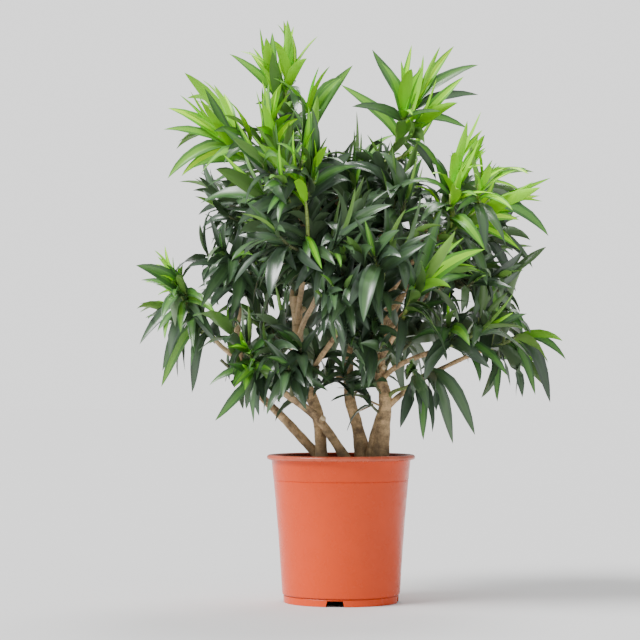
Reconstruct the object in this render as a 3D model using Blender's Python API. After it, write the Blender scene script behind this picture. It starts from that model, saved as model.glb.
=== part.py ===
"""Song of Jamaica dracaena, a shrub about a metre tall, in a round plastic nursery pot.

Five bare stems stand in the soil of the pot. Boughs leave the stems, and a mass of long strap
leaves grows on from the tip of each bough, or straight from a stem. Metres, +Z up. The origin is
the middle of the pot's underside, and the photograph looks along +Y.
"""

import math
import random
from collections import namedtuple

import bmesh
import bpy
import numpy as np
from mathutils.bvhtree import BVHTree

# Driving sizes of the pot
POT_HEIGHT = 0.267
RIM_RADIUS = 0.135
LIP_HEIGHT = 0.0095
NECK_RADIUS = 0.1262
BODY_FOOT_RADIUS = 0.107
FOOT_RADIUS = 0.1045
FOOT_HEIGHT = 0.014
HOLLOW_OF_BODY = 0.0013
WALL = 0.0024
FLOOR = 0.0035
POT_SIDES = 36
POT_LEVELS = 3
NOTCH_COUNT = 4
NOTCH_HEIGHT = 0.011
NOTCH_FOOT_WIDTH = 0.033
NOTCH_TOP_WIDTH = 0.028
NOTCH_DEPTH = 0.010
NOTCH_TURN = math.radians(-96.0)

# Driving sizes of the plant
SOIL_LEVEL = 0.245
GAP = 0.0003
STEM_SIDES = 8
STEM_RINGS_PER_SPAN = 2
BOUGH_SIDES = 5
BOUGH_RINGS = 4
BOUGH_FOOT_RADIUS = 0.0052
BOUGH_TIP_RADIUS = 0.0040
TWIG_TIP_RADIUS = 0.0029
FLARE_HEIGHT = 0.018
TWIG_SIDES = 3
BENT_SHOOT_SPANS = 2

# How side shoots and leaves grow on a shoot, from seeded chance. A leaf's age runs from 0 for the
# lowest and oldest to 1 for the youngest at the growing tip.
SEED = 300
SIDE_SHOOTS = 2
SIDE_SHOOT_FROM = (0.18, 0.5)
SIDE_SHOOT_LENGTH = (0.040, 0.058)
SIDE_SHOOT_RADII = (0.0032, 0.0029, 0.0029)
SIDE_SHOOT_BARE = 0.35
MAIN_LEAF_SHARE = 0.62
SIDE_LEAF_SHARE = 0.38
FEWEST_LEAVES = 4
FIRST_LEAF = 0.10
LAST_LEAF = 0.97
GOLDEN_TURN = math.radians(137.5)
TURN_SCATTER = 0.4
SIZE_SCATTER = 0.1
TWIST_SCATTER = 0.4
LEAF_TRIES = 12
TURN_EACH_TRY = 0.7
SHORTER_EACH_TRY = 0.045
GROWN_UNTIL = 0.7
YOUNG_SHORTER = 0.5
OLD_SPREAD = 92.0
YOUNG_SPREAD = 18.0
ROOT_HALF_HANG = 0.45
TIP_HALF_HANG = 2.20
YOUNG_STIFFNESS = 0.75
LEAF_WIDTH_SHARE = 0.235
LEAF_THICK_SHARE = 0.018
LEAF_ROOT_WIDTH = 0.0030
LEAF_WIDEST = 0.44
LEAF_NECK_SHARE = 0.12

# What keeps the masses apart
MASS_CENTRE_SHARE = 0.55
CELL_MARGIN = 0.0006
LIMB_CLEARANCE = 0.0052

UP = np.array((0.0, 0.0, 1.0))
ODD_WAY = (0.31, 0.92, 0.24)

# Each stem: way points from below the soil to its top, radius at the foot and top, and flare
Stem = namedtuple("Stem", "way foot top flare")
STEMS = {
    "stem_west": Stem(
        [(-0.006, 0.036, 0.225), (-0.095, 0.034, 0.321), (-0.160, 0.024, 0.390),
         (-0.188, 0.008, 0.462), (-0.186, -0.016, 0.535)],
        0.0088, 0.0052, 0.0025,
    ),
    "stem_left": Stem(
        [(-0.032, 0.008, 0.225), (-0.042, 0.008, 0.333), (-0.061, 0.009, 0.390),
         (-0.077, 0.010, 0.463), (-0.082, 0.010, 0.556)],
        0.0110, 0.0092, 0.0032,
    ),
    "stem_front": Stem(
        [(0.030, -0.018, 0.225), (-0.030, -0.020, 0.318), (-0.064, -0.023, 0.352),
         (-0.100, -0.032, 0.377), (-0.135, -0.052, 0.404)],
        0.0095, 0.0056, 0.0022,
    ),
    "stem_middle": Stem(
        [(0.042, 0.020, 0.225), (0.029, 0.018, 0.318), (0.016, 0.018, 0.372),
         (0.014, 0.022, 0.450), (0.018, 0.034, 0.640)],
        0.0118, 0.0054, 0.0034,
    ),
    "stem_right": Stem(
        [(0.067, -0.012, 0.225), (0.078, -0.012, 0.330), (0.080, -0.012, 0.375),
         (0.069, -0.012, 0.432), (0.080, -0.010, 0.600)],
        0.0150, 0.0070, 0.0030,
    ),
}

# Each mass: the limb that carries it, the height where it leaves that limb, the place where it
# enters its mass, its growing tip, whether a bough carries it, leaf length, droop, leaves, tint
Mass = namedtuple("Mass", "name limb at entry tip bough leaf droop leaves tint")
MASSES = [
    Mass("west_low", "stem_west", 0.368, (-0.176, 0.046, 0.398), (-0.222, 0.040, 0.440),
         False, 0.115, 0.9, 12, "deep"),
    Mass("west_far", "stem_west", 0.430, (-0.230, -0.020, 0.478), (-0.274, -0.048, 0.546),
         True, 0.128, 1.3, 22, "fresh"),
    Mass("west_middle", "stem_west", 0.535, None, (-0.206, -0.100, 0.622),
         False, 0.128, 1.2, 24, "deep"),
    Mass("west_upper", "stem_left", 0.510, (-0.128, 0.042, 0.664), (-0.178, 0.046, 0.732),
         True, 0.118, 0.9, 20, "deep"),
    Mass("south_west", "stem_front", 0.404, None, (-0.162, -0.126, 0.452),
         False, 0.120, 0.9, 18, "fresh"),
    Mass("low_left", "stem_front", 0.368, (-0.074, -0.070, 0.412), (-0.072, -0.140, 0.460),
         False, 0.125, 0.8, 16, "deep"),
    Mass("heart", "stem_left", 0.556, None, (-0.110, -0.040, 0.690),
         False, 0.140, 0.6, 20, "deep"),
    Mass("north_west", "stem_middle", 0.520, (-0.088, -0.050, 0.762), (-0.220, -0.090, 0.838),
         True, 0.145, 0.4, 24, "young"),
    Mass("north_west_front", "stem_left", 0.500, (-0.072, -0.160, 0.690),
         (-0.100, -0.195, 0.760), True, 0.140, 0.5, 20, "fresh"),
    Mass("front_left", "stem_left", 0.470, (-0.043, -0.175, 0.590), (-0.060, -0.228, 0.650),
         True, 0.140, 0.8, 20, "deep"),
    Mass("back_left", "stem_left", 0.455, (-0.114, 0.150, 0.590), (-0.164, 0.215, 0.650),
         True, 0.140, 0.9, 20, "deep"),
    Mass("front_middle", "stem_left", 0.388, (0.002, -0.140, 0.520), (0.004, -0.222, 0.600),
         True, 0.138, 0.9, 20, "deep"),
    Mass("back_left_low", "stem_left", 0.400, (-0.094, 0.105, 0.465), (-0.140, 0.175, 0.510),
         True, 0.130, 0.9, 18, "deep"),
    Mass("top_left", "stem_middle", 0.565, (-0.052, 0.004, 0.836), (-0.122, -0.014, 0.932),
         True, 0.136, 0.4, 24, "fresh"),
    Mass("top_back", "stem_middle", 0.585, (0.020, 0.058, 0.690), (0.014, 0.062, 0.778),
         False, 0.120, 0.7, 12, "deep"),
    Mass("top_right", "stem_right", 0.590, (0.080, -0.010, 0.796), (0.136, -0.036, 0.908),
         True, 0.140, 0.4, 24, "young"),
    Mass("top_middle", "stem_middle", 0.640, None, (0.022, -0.066, 0.748),
         False, 0.135, 0.7, 22, "deep"),
    Mass("back_top", "stem_middle", 0.560, (0.000, 0.110, 0.690), (-0.010, 0.150, 0.765),
         True, 0.140, 0.7, 20, "deep"),
    Mass("back_middle", "stem_middle", 0.420, (0.010, 0.190, 0.535), (0.010, 0.270, 0.595),
         True, 0.140, 0.9, 22, "deep"),
    Mass("front", "stem_right", 0.450, (0.061, -0.155, 0.530), (0.077, -0.228, 0.606),
         True, 0.140, 0.9, 20, "fresh"),
    Mass("east_upper", "stem_right", 0.575, (0.165, -0.050, 0.688), (0.210, -0.080, 0.762),
         True, 0.124, 0.4, 18, "young"),
    Mass("right_heart", "stem_right", 0.552, (0.078, -0.066, 0.652), (0.108, -0.084, 0.738),
         False, 0.135, 0.9, 26, "deep"),
    Mass("east_bright", "stem_right", 0.530, (0.180, -0.118, 0.660), (0.262, -0.150, 0.718),
         True, 0.132, 0.4, 20, "young"),
    Mass("east", "stem_right", 0.500, (0.195, 0.018, 0.632), (0.262, 0.040, 0.672),
         True, 0.125, 1.4, 22, "deep"),
    Mass("east_low", "stem_right", 0.470, (0.185, -0.050, 0.572), (0.238, -0.080, 0.598),
         True, 0.120, 1.4, 18, "deep"),
    Mass("south_east", "stem_right", 0.348, (0.253, -0.040, 0.455), (0.320, -0.060, 0.482),
         True, 0.132, 1.6, 20, "fresh"),
    Mass("low_right", "stem_right", 0.362, (0.122, -0.055, 0.392), (0.156, -0.092, 0.418),
         False, 0.132, 1.5, 14, "fresh"),
    Mass("south_east_near", "stem_right", 0.400, (0.185, -0.105, 0.462), (0.246, -0.150, 0.490),
         True, 0.135, 0.9, 18, "fresh"),
    Mass("front_bright", "stem_right", 0.420, (0.105, -0.165, 0.505), (0.135, -0.222, 0.580),
         True, 0.140, 0.5, 20, "young"),
    Mass("front_low", "stem_right", 0.405, (0.050, -0.100, 0.455), (0.058, -0.180, 0.505),
         False, 0.130, 0.9, 16, "deep"),
    Mass("back_right", "stem_right", 0.450, (0.142, 0.155, 0.600), (0.183, 0.225, 0.660),
         True, 0.140, 0.9, 20, "deep"),
    Mass("back_right_low", "stem_right", 0.385, (0.122, 0.115, 0.465), (0.165, 0.185, 0.510),
         False, 0.130, 0.9, 18, "deep"),
]

COLOURS = {
    "pot": (0.66, 0.19, 0.075),
    "soil": (0.035, 0.024, 0.016),
    "bark": (0.36, 0.235, 0.125),
    "young": (0.30, 0.56, 0.045),
    "fresh": (0.10, 0.29, 0.035),
    "deep": (0.028, 0.105, 0.022),
}


def clear_scene():
    for obj in list(bpy.data.objects):
        bpy.data.objects.remove(obj, do_unlink=True)


def material(name, roughness):
    found = bpy.data.materials.get(name)
    if found:
        return found
    made = bpy.data.materials.new(name)
    made.use_nodes = True
    shader = made.node_tree.nodes["Principled BSDF"]
    shader.inputs["Base Color"].default_value = (*COLOURS[name], 1.0)
    shader.inputs["Roughness"].default_value = roughness
    shader.inputs["Metallic"].default_value = 0.0
    return made


def pot_plastic():
    return material("pot", 0.38)


def potting_soil():
    return material("soil", 0.95)


def bark():
    return material("bark", 0.8)


def foliage(tint):
    return material(tint, 0.4)


def new_object(name, bm, finish=None):
    mesh = bpy.data.meshes.new(name)
    bm.to_mesh(mesh)
    bm.free()
    obj = bpy.data.objects.new(name, mesh)
    bpy.context.scene.collection.objects.link(obj)
    if finish:
        mesh.materials.append(finish)
    return obj


def unit(vector):
    return vector / np.linalg.norm(vector)


def bezier(a, b, c, d, steps):
    t = np.linspace(0.0, 1.0, steps + 1)[:, None]
    s = 1.0 - t
    return s**3 * a + 3 * s * s * t * b + 3 * s * t * t * c + t**3 * d


def smooth_way(points, steps):
    """A smooth line through the way points, with this many steps between two of them."""
    way = [np.array(p) for p in points]
    slopes = [way[1] - way[0]]
    slopes += [(after - before) / 2 for before, after in zip(way, way[2:])]
    slopes.append(way[-1] - way[-2])
    line = [way[0][None]]
    for i in range(len(way) - 1):
        a, d = way[i], way[i + 1]
        line.append(bezier(a, a + slopes[i] / 3, d - slopes[i + 1] / 3, d, steps)[1:])
    return np.concatenate(line)


def lengths_along(line):
    steps = np.linalg.norm(np.diff(line, axis=0), axis=1)
    return np.concatenate([[0.0], np.cumsum(steps)])


def rings_of(line, radii, sides, ways):
    """The corners of a ring round each point of the line, turned as little as can be.

    The first and last ring stand square to the two ways, where those aren't None.
    """
    tangents = np.gradient(line, axis=0)
    for place, way in zip((0, -1), ways):
        if way is not None:
            tangents[place] = way
    side = np.cross(tangents[0], ODD_WAY)
    rings = []
    turns = 2 * math.pi * np.arange(sides) / sides
    for point, tangent, radius in zip(line, tangents, radii):
        ahead = unit(tangent)
        side = unit(side - ahead * side.dot(ahead))
        other = np.cross(ahead, side)
        ring = np.outer(np.cos(turns), side) + np.outer(np.sin(turns), other)
        rings.append(point + radius * ring)
    return rings


def add_tube(bm, line, radii, sides, ways=(None, None)):
    """A closed tube along the line, with a flat cap on each end."""
    rings = [[bm.verts.new(p) for p in ring] for ring in rings_of(line, radii, sides, ways)]
    for low, high in zip(rings, rings[1:]):
        for i in range(sides):
            j = (i + 1) % sides
            bm.faces.new((low[i], low[j], high[j], high[i]))
    bm.faces.new(rings[0][::-1])
    bm.faces.new(rings[-1])


def tube_object(name, line, radii, sides, finish=None, ways=(None, None)):
    bm = bmesh.new()
    add_tube(bm, line, radii, sides, ways)
    return new_object(name, bm, finish)


def keep_main_body(mesh):
    """Drops loose scraps and fills sealed hollows: only the largest closed skin stays.

    A scrap can share an edge with the skin, so the walk crosses only edges of two faces.
    """
    bm = bmesh.new()
    bm.from_mesh(mesh)
    left = set(bm.faces)
    bodies = []
    while left:
        body, edge = set(), [left.pop()]
        while edge:
            face = edge.pop()
            body.add(face)
            sound = [e for e in face.edges if len(e.link_faces) == 2]
            near = {f for e in sound for f in e.link_faces} & left
            left -= near
            edge += near
        bodies.append(body)
    main = max(bodies, key=lambda body: sum(f.calc_area() for f in body))
    lost = [f for f in bm.faces if f not in main]
    bmesh.ops.delete(bm, geom=lost, context="FACES")
    bmesh.ops.triangulate(bm, faces=bm.faces)
    bm.to_mesh(mesh)
    bm.free()


def apply_boolean(obj, operation, other=None, others=None):
    """Joins or cuts obj, then removes what it was joined with or cut by."""
    change = obj.modifiers.new(operation.lower(), "BOOLEAN")
    change.operation = operation
    change.solver = "EXACT"
    if others:
        change.operand_type = "COLLECTION"
        change.collection = others
    else:
        change.object = other
    graph = bpy.context.evaluated_depsgraph_get()
    result = bpy.data.meshes.new_from_object(obj.evaluated_get(graph))
    result.name = obj.name
    obj.modifiers.clear()
    obj.data = result
    for used in list(others.objects) if others else [other]:
        bpy.data.objects.remove(used, do_unlink=True)
    if others:
        bpy.data.collections.remove(others)
    keep_main_body(obj.data)


def turned_solid(name, profile, finish):
    """A solid of revolution. The profile runs from the axis, out and round, to the axis."""
    bm = bmesh.new()
    points = [bm.verts.new((radius, 0.0, height)) for radius, height in profile]
    edges = [bm.edges.new(pair) for pair in zip(points, points[1:])]
    bmesh.ops.spin(
        bm, geom=points + edges, cent=(0, 0, 0), axis=(0, 0, 1), angle=2 * math.pi,
        steps=POT_SIDES,
    )
    bmesh.ops.remove_doubles(bm, verts=bm.verts, dist=1e-6)
    bmesh.ops.recalc_face_normals(bm, faces=bm.faces)
    return new_object(name, bm, finish)


def pot_radius(height):
    """The pot's outer radius between its foot and its lip: a taper, hollowed a little."""
    low, high = FOOT_HEIGHT, POT_HEIGHT - LIP_HEIGHT
    share = (height - low) / (high - low)
    straight = BODY_FOOT_RADIUS + share * (NECK_RADIUS - BODY_FOOT_RADIUS)
    return straight - HOLLOW_OF_BODY * math.sin(math.pi * share)


def pot_levels(low, high):
    return [low + (high - low) * i / POT_LEVELS for i in range(POT_LEVELS + 1)]


def make_pot():
    under_lip = POT_HEIGHT - LIP_HEIGHT
    outer = [(pot_radius(z), z) for z in pot_levels(FOOT_HEIGHT, under_lip)]
    inner = [(pot_radius(z) - WALL, z) for z in pot_levels(FOOT_HEIGHT, under_lip)]
    foot = [(0.0, 0.0), (FOOT_RADIUS, 0.0), (FOOT_RADIUS, FOOT_HEIGHT)]
    lip = [
        (RIM_RADIUS - 0.0012, under_lip + 0.0010),
        (RIM_RADIUS, under_lip + 0.0030),
        (RIM_RADIUS, POT_HEIGHT - 0.0022),
        (RIM_RADIUS - 0.0018, POT_HEIGHT),
        (NECK_RADIUS + 0.0010, POT_HEIGHT),
    ]
    floor = [(FOOT_RADIUS - WALL, FLOOR), (0.0, FLOOR)]
    profile = foot + outer + lip + inner[::-1] + floor
    pot = turned_solid("pot", profile, pot_plastic())
    notches = notch_cutter()
    cut = pot.modifiers.new("drain_notches", "BOOLEAN")
    cut.operation = "DIFFERENCE"
    cut.solver = "EXACT"
    cut.object = notches
    pot.data.shade_smooth()
    pot.data.set_sharp_from_angle(angle=math.radians(35))


def notch_cutter():
    """The drain notches that run through the foot of the wall, a quarter turn apart."""
    bm = bmesh.new()
    inner, outer = FOOT_RADIUS - NOTCH_DEPTH, FOOT_RADIUS + NOTCH_DEPTH
    corners = [
        (-NOTCH_FOOT_WIDTH / 2, -NOTCH_HEIGHT),
        (NOTCH_FOOT_WIDTH / 2, -NOTCH_HEIGHT),
        (NOTCH_FOOT_WIDTH / 2, 0.0),
        (NOTCH_TOP_WIDTH / 2, NOTCH_HEIGHT),
        (-NOTCH_TOP_WIDTH / 2, NOTCH_HEIGHT),
        (-NOTCH_FOOT_WIDTH / 2, 0.0),
    ]
    for i in range(NOTCH_COUNT):
        turn = NOTCH_TURN + i * 2 * math.pi / NOTCH_COUNT
        out = np.array((math.cos(turn), math.sin(turn), 0.0))
        across = np.array((-math.sin(turn), math.cos(turn), 0.0))
        ends = [
            [bm.verts.new(out * r + across * x + UP * z) for x, z in corners]
            for r in (inner, outer)
        ]
        bm.faces.new(ends[0][::-1])
        bm.faces.new(ends[1])
        for j in range(len(corners)):
            k = (j + 1) % len(corners)
            bm.faces.new((ends[0][j], ends[0][k], ends[1][k], ends[1][j]))
    bmesh.ops.recalc_face_normals(bm, faces=bm.faces)
    cutter = new_object("drain_notch_cutter", bm)
    cutter.hide_render = True
    cutter.display_type = "WIRE"
    return cutter


def make_soil():
    """The plug of soil, a gap clear of the pot's wall and floor."""
    clear = WALL + GAP
    sides = [(pot_radius(z) - clear, z) for z in pot_levels(FOOT_HEIGHT, SOIL_LEVEL)]
    low = [(0.0, FLOOR + GAP), (FOOT_RADIUS - clear, FLOOR + GAP)]
    turned_solid("soil", low + sides + [(0.0, SOIL_LEVEL)], potting_soil())


def stem_line(stem):
    """A stem's middle line and radii, with the flare where it leaves the soil."""
    line = smooth_way(stem.way, STEM_RINGS_PER_SPAN)
    along = lengths_along(line)
    share = along / along[-1]
    rise = np.maximum(line[:, 2] - SOIL_LEVEL, 0.0)
    radii = stem.foot + (stem.top - stem.foot) * share
    return line, radii + stem.flare * np.exp(-rise / FLARE_HEIGHT)


def make_stem(name, line, radii):
    """A stem with a flat cut at the soil."""
    bm = bmesh.new()
    add_tube(bm, line, radii, STEM_SIDES)
    ground = (0.0, 0.0, SOIL_LEVEL + GAP)
    everything = bm.verts[:] + bm.edges[:] + bm.faces[:]
    cut = bmesh.ops.bisect_plane(
        bm, geom=everything, plane_co=ground, plane_no=(0, 0, 1), clear_inner=True
    )
    rim = [e for e in cut["geom_cut"] if isinstance(e, bmesh.types.BMEdge)]
    bmesh.ops.contextual_create(bm, geom=rim)
    bmesh.ops.recalc_face_normals(bm, faces=bm.faces)
    stem = new_object(name, bm, bark())
    stem.data.shade_smooth()


def place_on(limb, height):
    """The point of a limb's middle line at this height, and the way it runs there."""
    line = limb[0]
    above = np.flatnonzero(line[:, 2] >= height)
    i = min(max(int(above[0]) if len(above) else len(line) - 1, 1), len(line) - 1)
    low, high = line[i - 1], line[i]
    share = (height - low[2]) / max(high[2] - low[2], 1e-9)
    return low + (high - low) * min(max(share, 0.0), 1.0), unit(high - low)


def bough_line(mass, limbs):
    """From the middle of the limb that carries it, out and up to where it enters the mass."""
    start, heading = place_on(limbs[mass.limb], mass.at)
    entry, tip = np.array(mass.entry), np.array(mass.tip)
    reach = np.linalg.norm(entry - start) / 3
    out = unit(0.5 * heading + unit(entry - start))
    back = unit(tip - entry)
    line = bezier(start, start + out * reach, entry - back * reach, entry, BOUGH_RINGS)
    share = np.linspace(0.0, 1.0, BOUGH_RINGS + 1)
    return line, BOUGH_FOOT_RADIUS + (BOUGH_TIP_RADIUS - BOUGH_FOOT_RADIUS) * share


def top_way(limb):
    """The way a limb runs at its top."""
    return unit(limb[0][-1] - limb[0][-2])


def cut_clear(obj, limb, sides):
    """Cuts the foot of a branch to the skin of the limb that carries it, a gap clear."""
    line, radii = limb[0].copy(), limb[1] + GAP
    line[-1] += top_way(limb) * GAP
    apply_boolean(obj, "DIFFERENCE", other=tube_object("limb", line, radii, sides))


def make_bough(name, mass, limb, carrier):
    way_in = unit(np.array(mass.tip) - np.array(mass.entry))
    bough = tube_object(name, *limb, BOUGH_SIDES, bark(), (None, way_in))
    cut_clear(bough, carrier, STEM_SIDES)
    bough.data.shade_smooth()


def shoot_line(mass, limbs):
    """The main stem of a mass, and the share of it that is bare."""
    tip = np.array(mass.tip)
    radius = BOUGH_TIP_RADIUS
    if mass.bough:
        entry = limbs["bough_" + mass.name][0][-1]
        start = entry + unit(tip - entry) * GAP
        line = np.linspace(start, tip, 2)
        bare = 0.0
    elif mass.entry is None:
        heading = top_way(limbs[mass.limb])
        start = limbs[mass.limb][0][-1] + heading * GAP
        reach = np.linalg.norm(tip - start) / 3
        line = bezier(start, start + heading * reach, tip - unit(tip - start) * reach, tip,
                      BENT_SHOOT_SPANS)
        bare = 0.0
    else:
        start, heading = place_on(limbs[mass.limb], mass.at)
        entry = np.array(mass.entry)
        reach = np.linalg.norm(entry - start) / 2
        first = bezier(start, start + unit(heading + unit(entry - start)) * reach,
                       entry - unit(tip - entry) * reach * 0.6, entry, BENT_SHOOT_SPANS)
        line = np.concatenate([first, [tip]])
        bare = lengths_along(line)[BENT_SHOOT_SPANS] / lengths_along(line)[-1]
    share = np.linspace(0.0, 1.0, len(line))
    return line, radius + (TWIG_TIP_RADIUS - radius) * share, bare


def point_along(line, share):
    along = lengths_along(line)
    place = share * along[-1]
    i = min(max(int(np.searchsorted(along, place)), 1), len(line) - 1)
    part = (place - along[i - 1]) / (along[i] - along[i - 1])
    return line[i - 1] + (line[i] - line[i - 1]) * part, unit(line[i] - line[i - 1])


def way_out(axis, turn):
    """The way square to an axis that a turn about it points."""
    aside = unit(np.cross(axis, ODD_WAY))
    return aside * math.cos(turn) + np.cross(axis, aside) * math.sin(turn)


def leaf_corners(root, axis, turn, age, length, droop, twist):
    """The seven corners of a leaf: three at its root, three where it is widest, and its tip.

    Old leaves stand out and hang over, and young ones stand up round the bud.
    """
    radial = way_out(axis, turn)
    spread = math.radians(OLD_SPREAD + (YOUNG_SPREAD - OLD_SPREAD) * age)
    out = axis * math.cos(spread) + radial * math.sin(spread)
    across = unit(np.cross(axis, radial))
    hang = droop * (1.0 - YOUNG_STIFFNESS * age)
    first = unit(out - UP * ROOT_HALF_HANG * hang)
    second = unit(out - UP * TIP_HALF_HANG * hang)
    across = across * math.cos(twist) + np.cross(first, across) * math.sin(twist)
    middle = root + first * length * LEAF_WIDEST
    tip = middle + second * length * (1.0 - LEAF_WIDEST)
    under = unit(np.cross(across, first + second))
    width = length * LEAF_WIDTH_SHARE / 2
    thick = length * LEAF_THICK_SHARE
    half_root = LEAF_ROOT_WIDTH / 2
    root_thick = thick * half_root / width
    return np.array([
        root + across * half_root, root - across * half_root, root + under * root_thick,
        middle + across * width, middle - across * width, middle + under * thick,
        tip,
    ])


LEAF_FACES = [(0, 1, 2), (0, 3, 4, 1), (1, 4, 5, 2), (2, 5, 3, 0),
              (3, 6, 4), (4, 6, 5), (5, 6, 3)]


def leaf_samples(corners):
    """Points spread over a leaf outside its root, for the tests of what it meets."""
    left, right, tip = corners[3], corners[4], corners[6]
    root = corners[:2].mean(axis=0)
    middle = (left + right) / 2
    found = []
    for share in (0.35, 0.6, 0.8, 1.0):
        spot = root + (middle - root) * share
        found += [spot, spot + (left - middle) * share, spot + (right - middle) * share]
    for share in (0.3, 0.6, 0.85):
        spot = middle + (tip - middle) * share
        rest = 1 - share
        found += [spot, spot + (left - middle) * rest, spot + (right - middle) * rest]
    return np.array(found + [tip])


def stays_in(points, centre, others):
    """Whether the points lie nearer this mass's centre than any other's, with a margin."""
    for other in others:
        away = unit(other - centre)
        if ((points - (centre + other) / 2) @ away).max() > -CELL_MARGIN:
            return False
    return True


def clear_of(points, spots, reach):
    """Whether the points keep their distance from spots, which are points with a radius."""
    if not len(spots):
        return True
    gaps = np.linalg.norm(points[:, None] - spots[None, :, :3], axis=2) - spots[None, :, 3]
    return bool(gaps.min() > reach)


def spots_of(line, radii, spacing=0.004):
    """A limb as points with radii, close enough together to test a leaf against."""
    along = lengths_along(line)
    places = np.arange(0.0, along[-1] + spacing, spacing).clip(0.0, along[-1])
    columns = [np.interp(places, along, column) for column in (*line.T, radii)]
    return np.stack(columns, axis=1)


def centre_of(mass, limbs):
    line, _, bare = shoot_line(mass, limbs)
    return point_along(line, bare + (1.0 - bare) * MASS_CENTRE_SHARE)[0]


def blade_tree(corners):
    """A search tree of a leaf without its neck, to test whether two leaves cross."""
    trimmed = corners.copy()
    trimmed[:3] += (corners[3:6] - corners[:3]) * LEAF_NECK_SHARE
    return BVHTree.FromPolygons(trimmed.tolist(), LEAF_FACES)


def leaf_object(corners, home):
    mesh = bpy.data.meshes.new("leaf")
    mesh.from_pydata(corners.tolist(), [], LEAF_FACES)
    leaf = bpy.data.objects.new("leaf", mesh)
    home.objects.link(leaf)


def side_shoot(rng, line, bare):
    """A shoot that leaves the main stem and turns up towards the light."""
    turn = rng.uniform(0.0, 2 * math.pi)
    start, axis = point_along(line, bare + (1.0 - bare) * rng.uniform(*SIDE_SHOOT_FROM))
    out = unit(way_out(axis, turn) + axis / 2)
    half = rng.uniform(*SIDE_SHOOT_LENGTH) / 2
    bend = start + out * half
    return np.array([start, bend, bend + unit(out + UP / 2) * half])


def side_shoots(rng, line, bare, centre, others, blocked):
    """The side shoots of a mass that keep to its space and clear of every limb."""
    found = []
    for _ in range(SIDE_SHOOTS):
        branch = side_shoot(rng, line, bare)
        free_part = spots_of(branch, np.zeros(len(branch)))[3:, :3]
        if stays_in(branch[1:], centre, others) and clear_of(free_part, blocked, LIMB_CLEARANCE):
            found.append(branch)
    return found


def add_twig(branch, home):
    twig = tube_object("twig", branch, SIDE_SHOOT_RADII, TWIG_SIDES)
    bpy.context.scene.collection.objects.unlink(twig)
    home.objects.link(twig)


def find_leaf(rng, mass, root, axis, number, age, space, placed):
    """The first way a leaf fits on its root, turned and shortened a little at each try."""
    centre, others, blocked = space
    for attempt in range(LEAF_TRIES):
        turn = number * GOLDEN_TURN + rng.uniform(-TURN_SCATTER, TURN_SCATTER)
        length = mass.leaf * rng.uniform(1.0 - SIZE_SCATTER, 1.0 + SIZE_SCATTER)
        length *= 1.0 - SHORTER_EACH_TRY * attempt
        length *= 1.0 - YOUNG_SHORTER * max(age - GROWN_UNTIL, 0.0)
        twist = rng.uniform(-TWIST_SCATTER, TWIST_SCATTER)
        turn += TURN_EACH_TRY * attempt
        corners = leaf_corners(root, axis, turn, age, length, mass.droop, twist)
        if not stays_in(corners, centre, others):
            continue
        if not clear_of(leaf_samples(corners), blocked, LIMB_CLEARANCE):
            continue
        blade = blade_tree(corners)
        if not any(blade.overlap(other) for other in placed):
            return corners, blade
    return None


def make_mass(mass, number, limbs, centres, blocked):
    """One mass: a main stem, side shoots, and leaves in a spiral along them, all fused."""
    rng = random.Random(SEED + number)
    line, radii, bare = shoot_line(mass, limbs)
    others = [c for name, c in centres.items() if name != mass.name]
    space = (centres[mass.name], others, blocked)
    home = bpy.data.collections.new(mass.name)
    first_way = top_way(limbs[mass.limb]) if mass.entry is None else None
    stem = tube_object(mass.name, line, radii, TWIG_SIDES, foliage(mass.tint), (first_way, None))
    shoots = [(line, bare, MAIN_LEAF_SHARE)]
    for branch in side_shoots(rng, line, bare, *space):
        add_twig(branch, home)
        shoots.append((branch, SIDE_SHOOT_BARE, SIDE_LEAF_SHARE))
    placed = []
    total = sum(share for _, _, share in shoots)
    for shoot, shoot_bare, share in shoots:
        count = max(FEWEST_LEAVES, round(mass.leaves * share / total))
        for i in range(count):
            age = i / (count - 1)
            along = FIRST_LEAF + (1.0 - FIRST_LEAF) * age
            root, axis = point_along(shoot, shoot_bare + (LAST_LEAF - shoot_bare) * along)
            found = find_leaf(rng, mass, root, axis, i, age, space, placed)
            if found:
                leaf_object(found[0], home)
                placed.append(found[1])
    apply_boolean(stem, "UNION", others=home)
    if not mass.bough and mass.entry is not None:
        cut_clear(stem, limbs[mass.limb], STEM_SIDES)


def make_plant():
    limbs = {}
    for name, stem in STEMS.items():
        limbs[name] = stem_line(stem)
        make_stem(name, *limbs[name])
    for mass in MASSES:
        if mass.bough:
            name = "bough_" + mass.name
            limbs[name] = bough_line(mass, limbs)
            make_bough(name, mass, limbs[name], limbs[mass.limb])
    centres = {mass.name: centre_of(mass, limbs) for mass in MASSES}
    shoots = {mass.name: spots_of(*shoot_line(mass, limbs)[:2]) for mass in MASSES}
    rigid = [spots_of(*limb) for limb in limbs.values()]
    for number, mass in enumerate(MASSES):
        blocked = np.concatenate(rigid + [s for n, s in shoots.items() if n != mass.name])
        make_mass(mass, number, limbs, centres, blocked)


def main():
    clear_scene()
    make_pot()
    make_soil()
    make_plant()


if __name__ == "__main__":
    main()
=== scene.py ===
"""Looks of a Song of Jamaica dracaena in its terracotta-coloured plastic nursery pot.

The stems, boughs and masses follow the same rule as the solids they replace, carried on to finer
shoots and to leaves in their real outline. Metres, +Z up. The origin is the middle of the pot's
underside and the photograph looks along +Y.
"""

import math
import random
from collections import namedtuple

import bmesh
import bpy
import numpy as np
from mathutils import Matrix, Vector
from mathutils.bvhtree import BVHTree


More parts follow.
